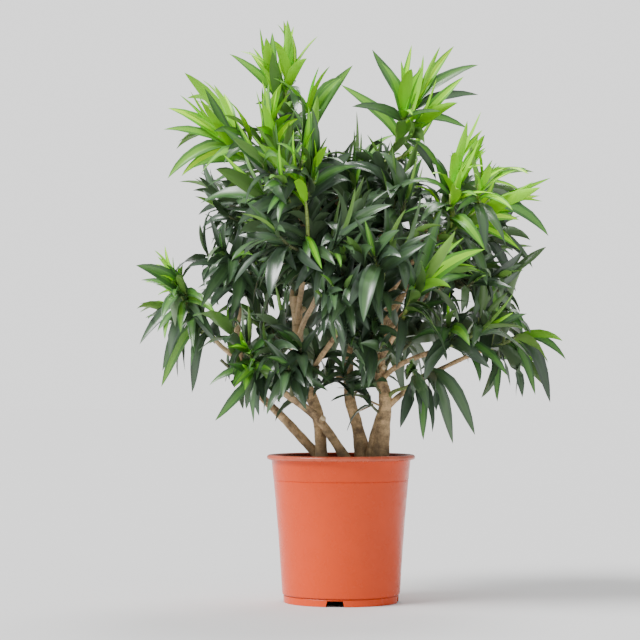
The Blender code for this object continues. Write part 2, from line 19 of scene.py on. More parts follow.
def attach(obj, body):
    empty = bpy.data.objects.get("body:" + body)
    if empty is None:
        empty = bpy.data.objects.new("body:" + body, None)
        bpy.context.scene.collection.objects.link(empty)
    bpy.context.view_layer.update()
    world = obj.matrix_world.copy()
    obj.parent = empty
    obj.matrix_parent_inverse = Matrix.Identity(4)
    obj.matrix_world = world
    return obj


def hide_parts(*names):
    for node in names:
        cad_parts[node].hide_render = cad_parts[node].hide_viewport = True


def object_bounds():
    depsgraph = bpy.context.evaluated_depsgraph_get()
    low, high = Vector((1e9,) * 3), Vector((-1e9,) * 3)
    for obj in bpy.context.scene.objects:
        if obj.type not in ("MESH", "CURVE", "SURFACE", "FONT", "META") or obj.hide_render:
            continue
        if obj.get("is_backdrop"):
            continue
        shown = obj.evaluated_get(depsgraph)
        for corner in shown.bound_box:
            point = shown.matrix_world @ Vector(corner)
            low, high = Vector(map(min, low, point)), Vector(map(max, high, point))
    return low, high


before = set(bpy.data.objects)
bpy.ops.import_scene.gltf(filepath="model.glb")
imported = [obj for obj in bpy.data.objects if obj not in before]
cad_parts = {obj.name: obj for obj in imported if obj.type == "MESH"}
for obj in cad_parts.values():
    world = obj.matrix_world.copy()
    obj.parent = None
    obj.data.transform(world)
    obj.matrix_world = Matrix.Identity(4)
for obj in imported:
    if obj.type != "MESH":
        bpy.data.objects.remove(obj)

bl_info = {
    "name": "Potted dracaena",
    "version": (1, 0, 0),
    "blender": (4, 5, 0),
    "location": "View3D > Sidebar > Plant",
    "description": "Builds a bushy potted dracaena round its solid frame",
    "category": "Add Mesh",
}

UP = np.array((0.0, 0.0, 1.0))
ODD_WAY = (0.31, 0.92, 0.24)

# The pot
POT_HEIGHT = 0.267
RIM_RADIUS = 0.135
LIP_HEIGHT = 0.0095
NECK_RADIUS = 0.1262
BODY_FOOT_RADIUS = 0.107
FOOT_RADIUS = 0.1045
FOOT_HEIGHT = 0.014
HOLLOW_OF_BODY = 0.0013
LEDGE_HEIGHT = 0.2205
LEDGE_DEPTH = 0.0007
WALL = 0.0024
FLOOR = 0.0145
UNDER_FLOOR = 0.0120
POT_SIDES = 144
NOTCH_COUNT = 4
NOTCH_HEIGHT = 0.011
NOTCH_FOOT_WIDTH = 0.033
NOTCH_TOP_WIDTH = 0.028
NOTCH_DEPTH = 0.008
NOTCH_TURN = math.radians(-96.0)

# The limbs
SOIL_LEVEL = 0.245
BURIED = 0.012
BOUGH_FOOT_RADIUS = 0.0052
BOUGH_TIP_RADIUS = 0.0040
TWIG_TIP_RADIUS = 0.0029
FLARE_HEIGHT = 0.018

# How side shoots and leaves grow on a shoot. A leaf's age runs from 0 for the lowest and oldest
# to 1 for the youngest at the growing tip.
MAIN_LEAVES = {"young": 16, "fresh": 18, "deep": 21}
SIDE_LEAVES = {"young": 9, "fresh": 8, "deep": 9}
FEW_LEAVES = {"low_right": 4, "south_east": 9, "south_east_near": 11, "top_right": 12,
              "west_far": 13, "north_west": 14}
SHOWN_TINT = {"top_left": "half", "east_upper": "half", "front_bright": "half",
              "low_right": "deep", "front": "deep"}
BOUGH_LEAVES = 8
SIDE_SHOOT_FROM = (0.02, 0.85)
SIDE_SHOOT_LENGTH = (0.045, 0.105)
SIDE_SHOOT_TRIES = 3
SIDE_SHOOT_BARE = 0.25
BOUGH_BARE = 0.50
LOWEST_BOUGH_LEAF = 0.50
BARE_BOUGHS = ("top_left", "top_right", "north_west", "east_upper")
FIRST_LEAF = 0.04
LAST_LEAF = 0.99
GOLDEN_TURN = math.radians(137.5)
LEAF_TRIES = 12
TURN_EACH_TRY = 0.7
SHORTER_EACH_TRY = 0.03
GROWN_UNTIL = 0.7
YOUNG_SHORTER = 0.40
OLD_SPREAD = {"young": 76.0, "fresh": 88.0, "deep": 98.0}
YOUNG_SPREAD = 8.0
SHEAF_FROM = 0.65
ARCH = (0.45, 0.85)
SPREAD_BEND = {"young": 1.5, "fresh": 1.05, "deep": 0.8}
SPREAD_SCATTER = 17.0
YOUNG_STIFFNESS = 0.80
MASS_CENTRE_SHARE = 0.55
CELL_OVERLAP = 0.030
LIMB_CLEARANCE = 0.0035
LEAF_SHARE = {"young": (0.72, 1.08), "fresh": (0.68, 1.02), "deep": (0.60, 0.98)}
BREADTH = {"young": 0.92, "fresh": 1.16, "deep": 1.10}
WIDTH_SCATTER = (0.82, 1.15)
HANG_SCATTER = (0.1, 1.8)
SIDEWAYS = 0.55

# The hem of the crown: how low leaves hang, by their distance from the pot's axis
HEM_HEIGHT = 0.380
HEM_RADIUS = 0.09
HEM_SLOPE = 0.45
HEM_DROOP = 0.14

# Where the rows of a leaf lie along it, from root to just short of its tip
LEAF_ROWS = np.array((0.0, 0.07, 0.17, 0.31, 0.47, 0.64, 0.79, 0.91))
LEAF_COLUMNS = np.array((-1.0, -0.5, 0.0, 0.5, 1.0))
LEAF_POINTS = len(LEAF_ROWS) * 6 + 1
SPARSE = {"low_right": 0.1, "south_east_near": 0.3, "south_east": 0.45, "east_low": 0.7,
          "south_west": 0.5, "top_left": 0.4, "top_right": 0.3, "west_upper": 0.7,
          "north_west": 0.5, "east_upper": 0.4, "top_back": 0.6, "front_bright": 0.3,
          "east_bright": 0.5, "west_far": 0.55, "west_low": 0.5, "back_left_low": 0.6,
          "west_middle": 0.8, "back_left": 0.9, "east": 0.9}
# Which way the growing tips of some shoots lean, beyond their own way
LEAN = {"north_west": (0.0, 0.0, 0.50), "top_left": (0.10, 0.0, 0.45),
        "front_bright": (0.60, 0.0, 0.10), "east_bright": (0.45, 0.0, -0.30)}

# Small sprigs that sprout from the stems: the limb, the height, which way each points, its length
SPRIGS = [
    ("stem_left", 0.362, 215.0, 0.030),
    ("stem_left", 0.395, 150.0, 0.036),
    ("stem_left", 0.402, 300.0, 0.042),
    ("stem_left", 0.380, 350.0, 0.034),
    ("stem_middle", 0.372, 335.0, 0.034),
    ("stem_middle", 0.385, 255.0, 0.030),
    ("stem_right", 0.372, 225.0, 0.032),
    ("stem_right", 0.425, 60.0, 0.036),
    ("stem_front", 0.352, 120.0, 0.030),
    ("stem_right", 0.338, 190.0, 0.034),
]
SPRIG_LEAVES = 6
SPRIG_LEAF = 0.074
SHADES = 3
# Masses whose sheaves stand in full light: their leaves take the paler shades of their colours, as painted light
SUNLIT = ("north_west", "top_left", "top_right", "east_bright", "west_far")

Stem = namedtuple("Stem", "way foot top flare")
STEMS = {
    "stem_west": Stem(
        [(-0.006, 0.036, 0.225), (-0.095, 0.034, 0.321), (-0.160, 0.024, 0.390),
         (-0.188, 0.008, 0.462), (-0.186, -0.016, 0.535)],
        0.0088, 0.0052, 0.0025,
    ),
    "stem_left": Stem(
        [(-0.032, 0.008, 0.225), (-0.042, 0.008, 0.333), (-0.061, 0.009, 0.390),
         (-0.077, 0.010, 0.463), (-0.082, 0.010, 0.556)],
        0.0110, 0.0092, 0.0032,
    ),
    "stem_front": Stem(
        [(0.030, -0.018, 0.225), (-0.030, -0.020, 0.318), (-0.064, -0.023, 0.352),
         (-0.100, -0.032, 0.377), (-0.135, -0.052, 0.404)],
        0.0095, 0.0056, 0.0022,
    ),
    "stem_middle": Stem(
        [(0.042, 0.020, 0.225), (0.029, 0.018, 0.318), (0.016, 0.018, 0.372),
         (0.014, 0.022, 0.450), (0.018, 0.034, 0.640)],
        0.0118, 0.0054, 0.0034,
    ),
    "stem_right": Stem(
        [(0.067, -0.012, 0.225), (0.078, -0.012, 0.330), (0.080, -0.012, 0.375),
         (0.069, -0.012, 0.432), (0.080, -0.010, 0.600)],
        0.0150, 0.0070, 0.0030,
    ),
}

# Each mass: the limb that carries it, the height where it leaves that limb, the place where it
# enters its mass, its growing tip, whether a bough carries it, leaf length, droop and tint
Mass = namedtuple("Mass", "name limb at entry tip bough leaf droop tint")
MASSES = [
    Mass("west_low", "stem_west", 0.368, (-0.176, 0.046, 0.398), (-0.222, 0.040, 0.440),
         False, 0.115, 0.9, "deep"),
    Mass("west_far", "stem_west", 0.430, (-0.230, -0.020, 0.478), (-0.274, -0.048, 0.546),
         True, 0.128, 1.3, "fresh"),
    Mass("west_middle", "stem_west", 0.535, None, (-0.206, -0.100, 0.622),
         False, 0.128, 1.2, "deep"),
    Mass("west_upper", "stem_left", 0.510, (-0.128, 0.042, 0.664), (-0.178, 0.046, 0.732),
         True, 0.118, 0.9, "deep"),
    Mass("south_west", "stem_front", 0.404, None, (-0.162, -0.126, 0.452),
         False, 0.120, 0.9, "fresh"),
    Mass("low_left", "stem_front", 0.368, (-0.074, -0.070, 0.412), (-0.072, -0.140, 0.460),
         False, 0.125, 0.8, "deep"),
    Mass("heart", "stem_left", 0.556, None, (-0.110, -0.040, 0.690),
         False, 0.140, 0.6, "deep"),
    Mass("north_west", "stem_middle", 0.520, (-0.088, -0.050, 0.762), (-0.220, -0.090, 0.838),
         True, 0.145, 0.4, "young"),
    Mass("north_west_front", "stem_left", 0.500, (-0.072, -0.160, 0.690),
         (-0.100, -0.195, 0.760), True, 0.140, 0.5, "fresh"),
    Mass("front_left", "stem_left", 0.470, (-0.043, -0.175, 0.590), (-0.060, -0.228, 0.650),
         True, 0.140, 0.8, "deep"),
    Mass("back_left", "stem_left", 0.455, (-0.114, 0.150, 0.590), (-0.164, 0.215, 0.650),
         True, 0.140, 0.9, "deep"),
    Mass("front_middle", "stem_left", 0.388, (0.002, -0.140, 0.520), (0.004, -0.222, 0.600),
         True, 0.138, 0.9, "deep"),
    Mass("back_left_low", "stem_left", 0.400, (-0.094, 0.105, 0.465), (-0.140, 0.175, 0.510),
         True, 0.130, 0.9, "deep"),
    Mass("top_left", "stem_middle", 0.565, (-0.052, 0.004, 0.836), (-0.122, -0.014, 0.932),
         True, 0.136, 0.4, "fresh"),
    Mass("top_back", "stem_middle", 0.585, (0.020, 0.058, 0.690), (0.014, 0.062, 0.778),
         False, 0.120, 0.7, "deep"),
    Mass("top_right", "stem_right", 0.590, (0.080, -0.010, 0.796), (0.136, -0.036, 0.908),
         True, 0.140, 0.4, "young"),
    Mass("top_middle", "stem_middle", 0.640, None, (0.022, -0.066, 0.748),
         False, 0.135, 0.7, "deep"),
    Mass("back_top", "stem_middle", 0.560, (0.000, 0.110, 0.690), (-0.010, 0.150, 0.765),
         True, 0.140, 0.7, "deep"),
    Mass("back_middle", "stem_middle", 0.420, (0.010, 0.190, 0.535), (0.010, 0.270, 0.595),
         True, 0.140, 0.9, "deep"),
    Mass("front", "stem_right", 0.450, (0.061, -0.155, 0.530), (0.077, -0.228, 0.606),
         True, 0.140, 0.9, "fresh"),
    Mass("east_upper", "stem_right", 0.575, (0.165, -0.050, 0.688), (0.210, -0.080, 0.762),
         True, 0.124, 0.4, "young"),
    Mass("right_heart", "stem_right", 0.552, (0.078, -0.066, 0.652), (0.108, -0.084, 0.738),
         False, 0.135, 0.9, "deep"),
    Mass("east_bright", "stem_right", 0.530, (0.180, -0.118, 0.660), (0.262, -0.150, 0.718),
         True, 0.132, 0.4, "young"),
    Mass("east", "stem_right", 0.500, (0.195, 0.018, 0.632), (0.262, 0.040, 0.672),
         True, 0.125, 1.4, "deep"),
    Mass("east_low", "stem_right", 0.470, (0.185, -0.050, 0.572), (0.238, -0.080, 0.598),
         True, 0.120, 1.4, "deep"),
    Mass("south_east", "stem_right", 0.348, (0.253, -0.040, 0.455), (0.320, -0.060, 0.482),
         True, 0.132, 1.6, "fresh"),
    Mass("low_right", "stem_right", 0.362, (0.122, -0.055, 0.392), (0.156, -0.092, 0.418),
         False, 0.132, 1.5, "fresh"),
    Mass("south_east_near", "stem_right", 0.400, (0.185, -0.105, 0.462),
         (0.246, -0.150, 0.490), True, 0.135, 0.9, "fresh"),
    Mass("front_bright", "stem_right", 0.420, (0.105, -0.165, 0.505), (0.135, -0.222, 0.580),
         True, 0.140, 0.5, "young"),
    Mass("front_low", "stem_right", 0.405, (0.050, -0.100, 0.455), (0.058, -0.180, 0.505),
         False, 0.130, 0.9, "deep"),
    Mass("back_right", "stem_right", 0.450, (0.142, 0.155, 0.600), (0.183, 0.225, 0.660),
         True, 0.140, 0.9, "deep"),
    Mass("back_right_low", "stem_right", 0.385, (0.122, 0.115, 0.465), (0.165, 0.185, 0.510),
         False, 0.130, 0.9, "deep"),
]

# The two flanks of the fork where the middle and right stems are grown together
FORK = [
    [(0.074, -0.009, 0.352), (0.063, -0.004, 0.300), (0.052, 0.002, 0.236)],
    [(0.024, 0.018, 0.346), (0.035, 0.014, 0.298), (0.046, 0.006, 0.236)],
]
FORK_RADII = (0.0052, 0.0165)

# Sawn-off shoots: the limb, the height where each leaves it, which way it points, length, radius
STUBS = [
    ("stem_left", 0.520, -60.0, 0.020, 0.0042),
    ("stem_left", 0.470, -115.0, 0.016, 0.0048),
    ("stem_left", 0.425, 195.0, 0.018, 0.0040),
    ("stem_front", 0.326, -76.0, 0.011, 0.0056),
    ("stem_right", 0.415, -70.0, 0.014, 0.0050),
    ("stem_middle", 0.400, 160.0, 0.016, 0.0038),
    ("stem_middle", 0.342, -8.0, 0.030, 0.0019),
    ("stem_right", 0.352, 178.0, 0.018, 0.0017),
    ("stem_west", 0.350, 100.0, 0.014, 0.0038),
]

# Leaf colours of each kind, as the middle band, the edge, the underside and the pale root. The undersides are
# their own paler colour; on the young leaves they are also lightened as painted light shining through the leaf.
LEAF_LOOKS = {
    # The first young shade, the palest, goes only to leaves of the masses in full light: painted light
    "young": [
        [(0.54, 1.00, 0.004), (0.150, 0.48, 0.014), (0.30, 0.72, 0.012), (0.50, 0.88, 0.05)],
        [(0.40, 0.92, 0.004), (0.110, 0.39, 0.016), (0.24, 0.62, 0.012), (0.42, 0.80, 0.05)],
        [(0.24, 0.68, 0.006), (0.085, 0.30, 0.020), (0.19, 0.48, 0.03), (0.34, 0.70, 0.06)],
    ],
    "fresh": [
        [(0.190, 0.48, 0.040), (0.090, 0.26, 0.038), (0.18, 0.36, 0.06), (0.30, 0.50, 0.09)],
        [(0.085, 0.24, 0.036), (0.046, 0.13, 0.032), (0.12, 0.25, 0.05), (0.22, 0.38, 0.08)],
        [(0.052, 0.15, 0.030), (0.032, 0.090, 0.026), (0.09, 0.18, 0.04), (0.18, 0.32, 0.07)],
    ],
    "deep": [
        [(0.072, 0.150, 0.054), (0.050, 0.102, 0.044), (0.11, 0.18, 0.08), (0.18, 0.28, 0.10)],
        [(0.056, 0.110, 0.048), (0.040, 0.076, 0.040), (0.10, 0.16, 0.08), (0.15, 0.23, 0.08)],
        [(0.046, 0.084, 0.044), (0.034, 0.060, 0.036), (0.08, 0.13, 0.07), (0.12, 0.19, 0.07)],
    ],
}
LEAF_ROUGHNESS = {"young": 0.42, "fresh": 0.34, "deep": 0.29}
LEAF_SHINE = {"young": 0.45, "fresh": 0.65, "deep": 0.75}

# Openings that the crown leaves to the sky and round its stems, as the photograph shows them: the
# middle of each on the plane through the pot's axis, across and up, and its half width and height
OPENINGS = [
    (-0.064, 0.995, 0.022, 0.064),
    (-0.004, 0.868, 0.026, 0.051),
    (-0.036, 0.872, 0.012, 0.040),
    (0.188, 0.850, 0.031, 0.040),
    (-0.322, 0.690, 0.062, 0.069),
    (0.392, 0.562, 0.075, 0.074),
    (0.376, 0.690, 0.048, 0.040),
    (0.214, 0.560, 0.013, 0.010),
    (0.238, 0.547, 0.009, 0.013),
    (-0.182, 0.941, 0.031, 0.036),
    (-0.159, 0.886, 0.013, 0.020),
    (0.301, 0.826, 0.040, 0.032),
    (0.206, 0.416, 0.040, 0.029),
    (0.293, 0.376, 0.014, 0.040),
    (-0.222, 0.436, 0.016, 0.040),
    (-0.246, 0.378, 0.064, 0.022),
    (-0.348, 0.562, 0.033, 0.016),
    (-0.008, 0.412, 0.012, 0.044),
    (0.098, 0.386, 0.013, 0.036),
    (0.030, 0.350, 0.060, 0.040),
    (-0.118, 0.520, 0.010, 0.014),
    (-0.158, 0.486, 0.009, 0.020),
    (-0.176, 0.545, 0.008, 0.012),
    (-0.096, 0.455, 0.012, 0.010),
    (-0.200, 0.640, 0.010, 0.010),
    (0.150, 0.470, 0.014, 0.008),
    (0.118, 0.690, 0.010, 0.009),
]
# Places where bare wood shows through the leaves, given the same way, and how far back each is
WINDOWS = [
    (-0.070, 0.523, 0.021, 0.056, 0.000),
    (-0.034, 0.452, 0.028, 0.034, -0.060),
    (0.018, 0.400, 0.014, 0.058, 0.000),
    (0.078, 0.398, 0.020, 0.062, -0.010),
    (0.117, 0.540, 0.012, 0.028, -0.195),
    (-0.071, 0.731, 0.013, 0.029, -0.205),
    (-0.058, 0.676, 0.013, 0.033, -0.205),
]
# Leaves that stand out alone at the crown's border, as the photograph shows them: the mass each
# grows on, how far up its shoot, where its tip lies across and up on the plane through the pot's
# axis, how much it arches, which way it faces, and its kind
FURTHER_OUT = 1.25
LONE_LEAVES = [
    ("top_right", 0.40, 0.000, 0.943, 0.15, 0.0, "fresh"),
    ("top_right", 0.75, 0.057, 1.008, 0.00, 10.0, "fresh"),
    ("top_right", 0.98, 0.252, 0.979, 0.30, -10.0, "fresh"),
    ("top_right", 0.85, 0.252, 0.924, 0.30, 0.0, "deep"),
    ("top_right", 0.70, 0.232, 0.862, 0.35, -20.0, "fresh"),
    ("top_left", 0.10, 0.022, 0.979, 0.25, 30.0, "fresh"),
    ("top_left", 0.80, -0.205, 1.000, 0.25, 20.0, "fresh"),
    ("top_left", 0.95, -0.126, 1.040, 0.05, -10.0, "fresh"),
    ("north_west", 0.70, -0.250, 0.937, 0.10, 40.0, "fresh"),
    ("north_west", 0.85, -0.325, 0.861, 0.30, 50.0, "fresh"),
    ("north_west", 0.80, -0.317, 0.771, 0.80, 0.0, "fresh"),
    ("north_west", 0.68, -0.292, 0.775, 0.70, 10.0, "young"),
    ("front_left", 0.98, -0.035, 0.605, 0.05, 25.0, "young"),
    ("front_left", 0.90, -0.060, 0.600, 0.10, -20.0, "fresh"),
    ("front_bright", 0.70, 0.078, 0.680, 0.00, 10.0, "fresh"),
    ("front_bright", 0.20, 0.184, 0.716, 0.10, 40.0, "fresh"),
    ("west_upper", 0.90, -0.261, 0.704, 0.70, 10.0, "deep"),
    ("east_bright", 0.85, 0.379, 0.665, 0.80, 0.0, "fresh"),
    ("east", 0.95, 0.350, 0.607, 0.90, 0.0, "deep"),
    ("east", 0.80, 0.319, 0.563, 0.60, 15.0, "deep"),
    ("east_low", 0.95, 0.290, 0.507, 0.60, 0.0, "fresh"),
    ("south_east", 0.95, 0.410, 0.439, 0.80, 0.0, "fresh"),
    ("south_east", 0.85, 0.381, 0.361, 0.90, -10.0, "deep"),
    ("south_east", 0.72, 0.319, 0.372, 0.50, 60.0, "deep"),
    ("south_east", 0.60, 0.354, 0.375, 0.80, 0.0, "fresh"),
    ("south_east", 0.15, 0.285, 0.363, 0.40, 0.0, "fresh"),
    ("low_right", 0.30, 0.150, 0.293, 0.30, 0.0, "fresh"),
    ("low_right", 0.95, 0.244, 0.302, 0.70, 10.0, "deep"),
    ("low_right", 0.75, 0.204, 0.286, 0.60, -15.0, "deep"),
    ("south_west", 0.05, -0.230, 0.328, 0.10, 0.0, "fresh"),
    ("south_west", 0.30, -0.241, 0.392, 0.60, 20.0, "fresh"),
    ("west_far", 0.90, -0.368, 0.467, 0.60, 0.0, "deep"),
    ("west_far", 0.60, -0.326, 0.419, 0.60, 0.0, "deep"),
    ("west_far", 0.35, -0.328, 0.390, 0.50, 15.0, "fresh"),
    ("west_far", 0.15, -0.272, 0.379, 0.30, 0.0, "deep"),
]
# Lone bright shoots: the mass each leaves, its tip, which way that leans, its leaves and length
TUFTS = [
    ("top_left", (-0.097, -0.020, 0.950), (0.0, 0.0, 0.02), 8, 0.112),
    ("front_left", (-0.086, -0.240, 0.752), (-0.17, 0.0, 0.0), 9, 0.098),
    ("west_far", (-0.302, -0.050, 0.592), (0.0, 0.0, 0.02), 9, 0.062),
]


class PotSettings(bpy.types.PropertyGroup):
    plastic: bpy.props.FloatVectorProperty(
        name="Plastic", description="Colour of the pot", subtype="COLOR", size=3,
        default=(0.72, 0.069, 0.010), min=0.0, max=1.0,
    )
    gloss: bpy.props.FloatProperty(
        name="Roughness", description="Roughness of the plastic", subtype="FACTOR",
        default=0.22, min=0.0, max=1.0,
    )
    soil: bpy.props.FloatVectorProperty(
        name="Soil", description="Colour of the potting soil", subtype="COLOR", size=3,
        default=(0.040, 0.026, 0.017), min=0.0, max=1.0,
    )
    crumb_count: bpy.props.IntProperty(
        name="Crumbs", description="Loose lumps on the soil", default=900, min=0,
    )


class PlantSettings(bpy.types.PropertyGroup):
    bark: bpy.props.FloatVectorProperty(
        name="Bark", description="Colour of the bare stems", subtype="COLOR", size=3,
        default=(0.64, 0.43, 0.225), min=0.0, max=1.0,
    )
    leaf_width: bpy.props.FloatProperty(
        name="Leaf width", description="Width of a leaf over its length", subtype="FACTOR",
        default=0.190, min=0.05, max=0.5,
    )
    side_shoots: bpy.props.IntProperty(
        name="Side shoots", description="Side shoots of each mass", default=10, min=0,
    )
    seed: bpy.props.IntProperty(
        name="Seed", description="Start of the plant's seeded chance", default=300,
    )


class StudioSettings(bpy.types.PropertyGroup):
    distance: bpy.props.FloatProperty(
        name="Distance", description="From the camera to the pot's axis", unit="LENGTH",
        default=3.9, min=0.5,
    )
    eye_height: bpy.props.FloatProperty(
        name="Eye height", description="Height of the camera", unit="LENGTH", default=0.394,
    )
    aim: bpy.props.FloatVectorProperty(
        name="Aim", description="The point in the middle of the picture", subtype="XYZ", size=3,
        default=(-0.0383, 0.0, 0.512),
    )
    picture_width: bpy.props.FloatProperty(
        name="Picture width", description="Width of the view at the pot's axis", unit="LENGTH",
        default=640 * 0.001824, min=0.1,
    )
    daylight: bpy.props.FloatProperty(
        name="Daylight", description="Light from the white surroundings", default=0.58, min=0.0,
    )
    backdrop: bpy.props.FloatProperty(
        name="Backdrop", description="Brightness of the surroundings behind the plant",
        default=1.57, min=0.0,
    )


def deselect_all():
    bpy.ops.object.select_all(action="DESELECT")


def apply_place():
    bpy.ops.object.transform_apply(location=True, rotation=True, scale=True)


def finish_piece(piece, nodes):
    """Hangs a finished piece on the root body, and hides the solids it stands for."""
    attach(piece, "root")
    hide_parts(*nodes)


def unit(vector):
    return vector / np.linalg.norm(vector)


def bezier(a, b, c, d, steps):
    t = np.linspace(0.0, 1.0, steps + 1)[:, None]
    s = 1.0 - t
    return s**3 * a + 3 * s * s * t * b + 3 * s * t * t * c + t**3 * d


def smooth_way(points, steps):
    """A smooth line through the way points, with this many steps between two of them."""
    way = [np.array(p) for p in points]
    slopes = [way[1] - way[0]]
    slopes += [(after - before) / 2 for before, after in zip(way, way[2:])]
    slopes.append(way[-1] - way[-2])
    line = [way[0][None]]
    for i in range(len(way) - 1):
        a, d = way[i], way[i + 1]
        line.append(bezier(a, a + slopes[i] / 3, d - slopes[i + 1] / 3, d, steps)[1:])
    return np.concatenate(line)


def lengths_along(line):
    steps = np.linalg.norm(np.diff(line, axis=0), axis=1)
    return np.concatenate([[0.0], np.cumsum(steps)])


def resample(line, radii, spacing):
    """The same line and radii with points this far apart."""
    along = lengths_along(line)
    count = max(int(along[-1] / spacing), 2)
    places = np.linspace(0.0, along[-1], count + 1)
    columns = [np.interp(places, along, column) for column in (*line.T, radii)]
    return np.stack(columns[:3], axis=1), columns[3], places


def point_along(line, share):
    along = lengths_along(line)
    place = share * along[-1]
    i = min(max(int(np.searchsorted(along, place)), 1), len(line) - 1)
    part = (place - along[i - 1]) / (along[i] - along[i - 1])
    return line[i - 1] + (line[i] - line[i - 1]) * part, unit(line[i] - line[i - 1])


def place_on(limb, height):
    """The point of a limb's middle line at this height, and the way it runs there."""
    line = limb[0]
    above = np.flatnonzero(line[:, 2] >= height)
    i = min(max(int(above[0]) if len(above) else len(line) - 1, 1), len(line) - 1)
    low, high = line[i - 1], line[i]
    share = (height - low[2]) / max(high[2] - low[2], 1e-9)
    return low + (high - low) * min(max(share, 0.0), 1.0), unit(high - low)


def stem_line(stem):
    """A stem's middle line and radii, with the flare where it leaves the soil."""
    line = smooth_way(stem.way, 24)
    line = line[line[:, 2] > SOIL_LEVEL - BURIED]
    along = lengths_along(line)
    share = along / along[-1]
    rise = np.maximum(line[:, 2] - SOIL_LEVEL, 0.0)
    radii = stem.foot + (stem.top - stem.foot) * share
    return line, radii + stem.flare * np.exp(-rise / FLARE_HEIGHT)


def bough_line(mass, limbs):
    """From the middle of the limb that carries it, out and up to where it enters the mass."""
    start, heading = place_on(limbs[mass.limb], mass.at)
    entry, tip = np.array(mass.entry), np.array(mass.tip)
    reach = np.linalg.norm(entry - start) / 3
    out = unit(0.5 * heading + unit(entry - start))
    back = unit(tip - entry)
    line = bezier(start, start + out * reach, entry - back * reach, entry, 40)
    share = np.linspace(0.0, 1.0, len(line))
    return line, BOUGH_FOOT_RADIUS + (BOUGH_TIP_RADIUS - BOUGH_FOOT_RADIUS) * share


def shoot_line(mass, limbs):
    """The main stem of a mass, and the share of it that is bare."""
    tip = np.array(mass.tip)
    bare = 0.0
    if mass.bough:
        start = np.array(mass.entry)
        bend = UP * 0.06 * np.linalg.norm(tip - start)
        line = bezier(start, start + (tip - start) / 3 - bend, tip - (tip - start) / 3 - bend, tip, 16)
    elif mass.entry is None:
        start = limbs[mass.limb][0][-1]
        heading = unit(start - limbs[mass.limb][0][-2])
        reach = np.linalg.norm(tip - start) / 3
        line = bezier(start, start + heading * reach, tip - unit(tip - start) * reach, tip, 24)
    else:
        start, heading = place_on(limbs[mass.limb], mass.at)
        entry = np.array(mass.entry)
        reach = np.linalg.norm(entry - start) / 2
        first = bezier(start, start + unit(heading + unit(entry - start)) * reach,
                       entry - unit(tip - entry) * reach * 0.6, entry, 24)
        line = np.concatenate([first, bezier(entry, entry + (tip - entry) / 3,
                                             entry + (tip - entry) / 1.5, tip, 8)[1:]])
        bare = lengths_along(line)[24] / lengths_along(line)[-1]
    share = np.linspace(0.0, 1.0, len(line))
    return line, BOUGH_TIP_RADIUS + (TWIG_TIP_RADIUS - BOUGH_TIP_RADIUS) * share, bare


def way_out(axis, turn):
    """The way square to an axis that a turn about it points."""
    aside = unit(np.cross(axis, ODD_WAY))
    return aside * math.cos(turn) + np.cross(axis, aside) * math.sin(turn)


def leaf_points(root, axis, turn, age, length, mass, width, rng):
    """The points of a leaf that arches away from its shoot and hangs by its own weight."""
    radial = way_out(axis, turn)
    opened = (1.0 - age) ** SPREAD_BEND[mass.tint]
    spread = YOUNG_SPREAD + (OLD_SPREAD[mass.tint] - YOUNG_SPREAD) * opened
    spread = math.radians(spread + rng.uniform(-SPREAD_SCATTER, SPREAD_SCATTER) * (1.2 - age))
    stations = np.append(LEAF_ROWS, 1.0)
    arched = (spread * (ARCH[0] + ARCH[1] * stations))[:, None]
    out = axis * np.cos(arched) + radial * np.sin(arched)
    aside = unit(np.cross(axis, radial))
    hang = mass.droop * (1.0 - YOUNG_STIFFNESS * age) * rng.uniform(*HANG_SCATTER)
    sideways = rng.uniform(-SIDEWAYS, SIDEWAYS) * (1.1 - age)
    twist = rng.uniform(-1.1, 1.1) * (1.0 - 0.6 * age)
    fall = hang * (0.20 + 1.75 * stations)
    ways = out - UP * fall[:, None] + aside * (sideways * stations)[:, None]
    ways /= np.linalg.norm(ways, axis=1)[:, None]
    steps = (ways[1:] + ways[:-1]) / 2 * (np.diff(stations) * length)[:, None]
    middle = root + np.concatenate([np.zeros((1, 3)), np.cumsum(steps, axis=0)])
    return blade_points(middle, ways, aside, twist, length * width, age, rng)


def lone_leaf(line, share, x, z, arch, facing, breadth, studio, rng):
    """The points of a leaf that runs from this share of a shoot to where the picture has its tip."""
    root, axis = point_along(line, share)
    depth = root[1] * FURTHER_OUT
    grow = (studio.distance + depth) / studio.distance
    tip = np.array((x * grow, depth, studio.eye_height + (z - studio.eye_height) * grow))
    reach = np.linalg.norm(tip - root)
    straight = (tip - root) / reach
    out = unit(0.6 * axis + straight + arch * UP)
    end = unit(straight - 1.2 * arch * UP)
    curve = bezier(root, root + out * reach / 3, tip - end * reach / 3, tip, 40)
    places = [point_along(curve, station) for station in np.append(LEAF_ROWS, 1.0)]
    middle, ways = (np.array(part) for part in zip(*places))
    turn = math.radians(facing)
    face = np.array((math.sin(turn), -math.cos(turn), 0.3))
    aside = unit(np.cross(face, straight))
    return blade_points(middle, ways, aside, rng.uniform(-0.4, 0.4), reach * breadth, 0.4, rng)


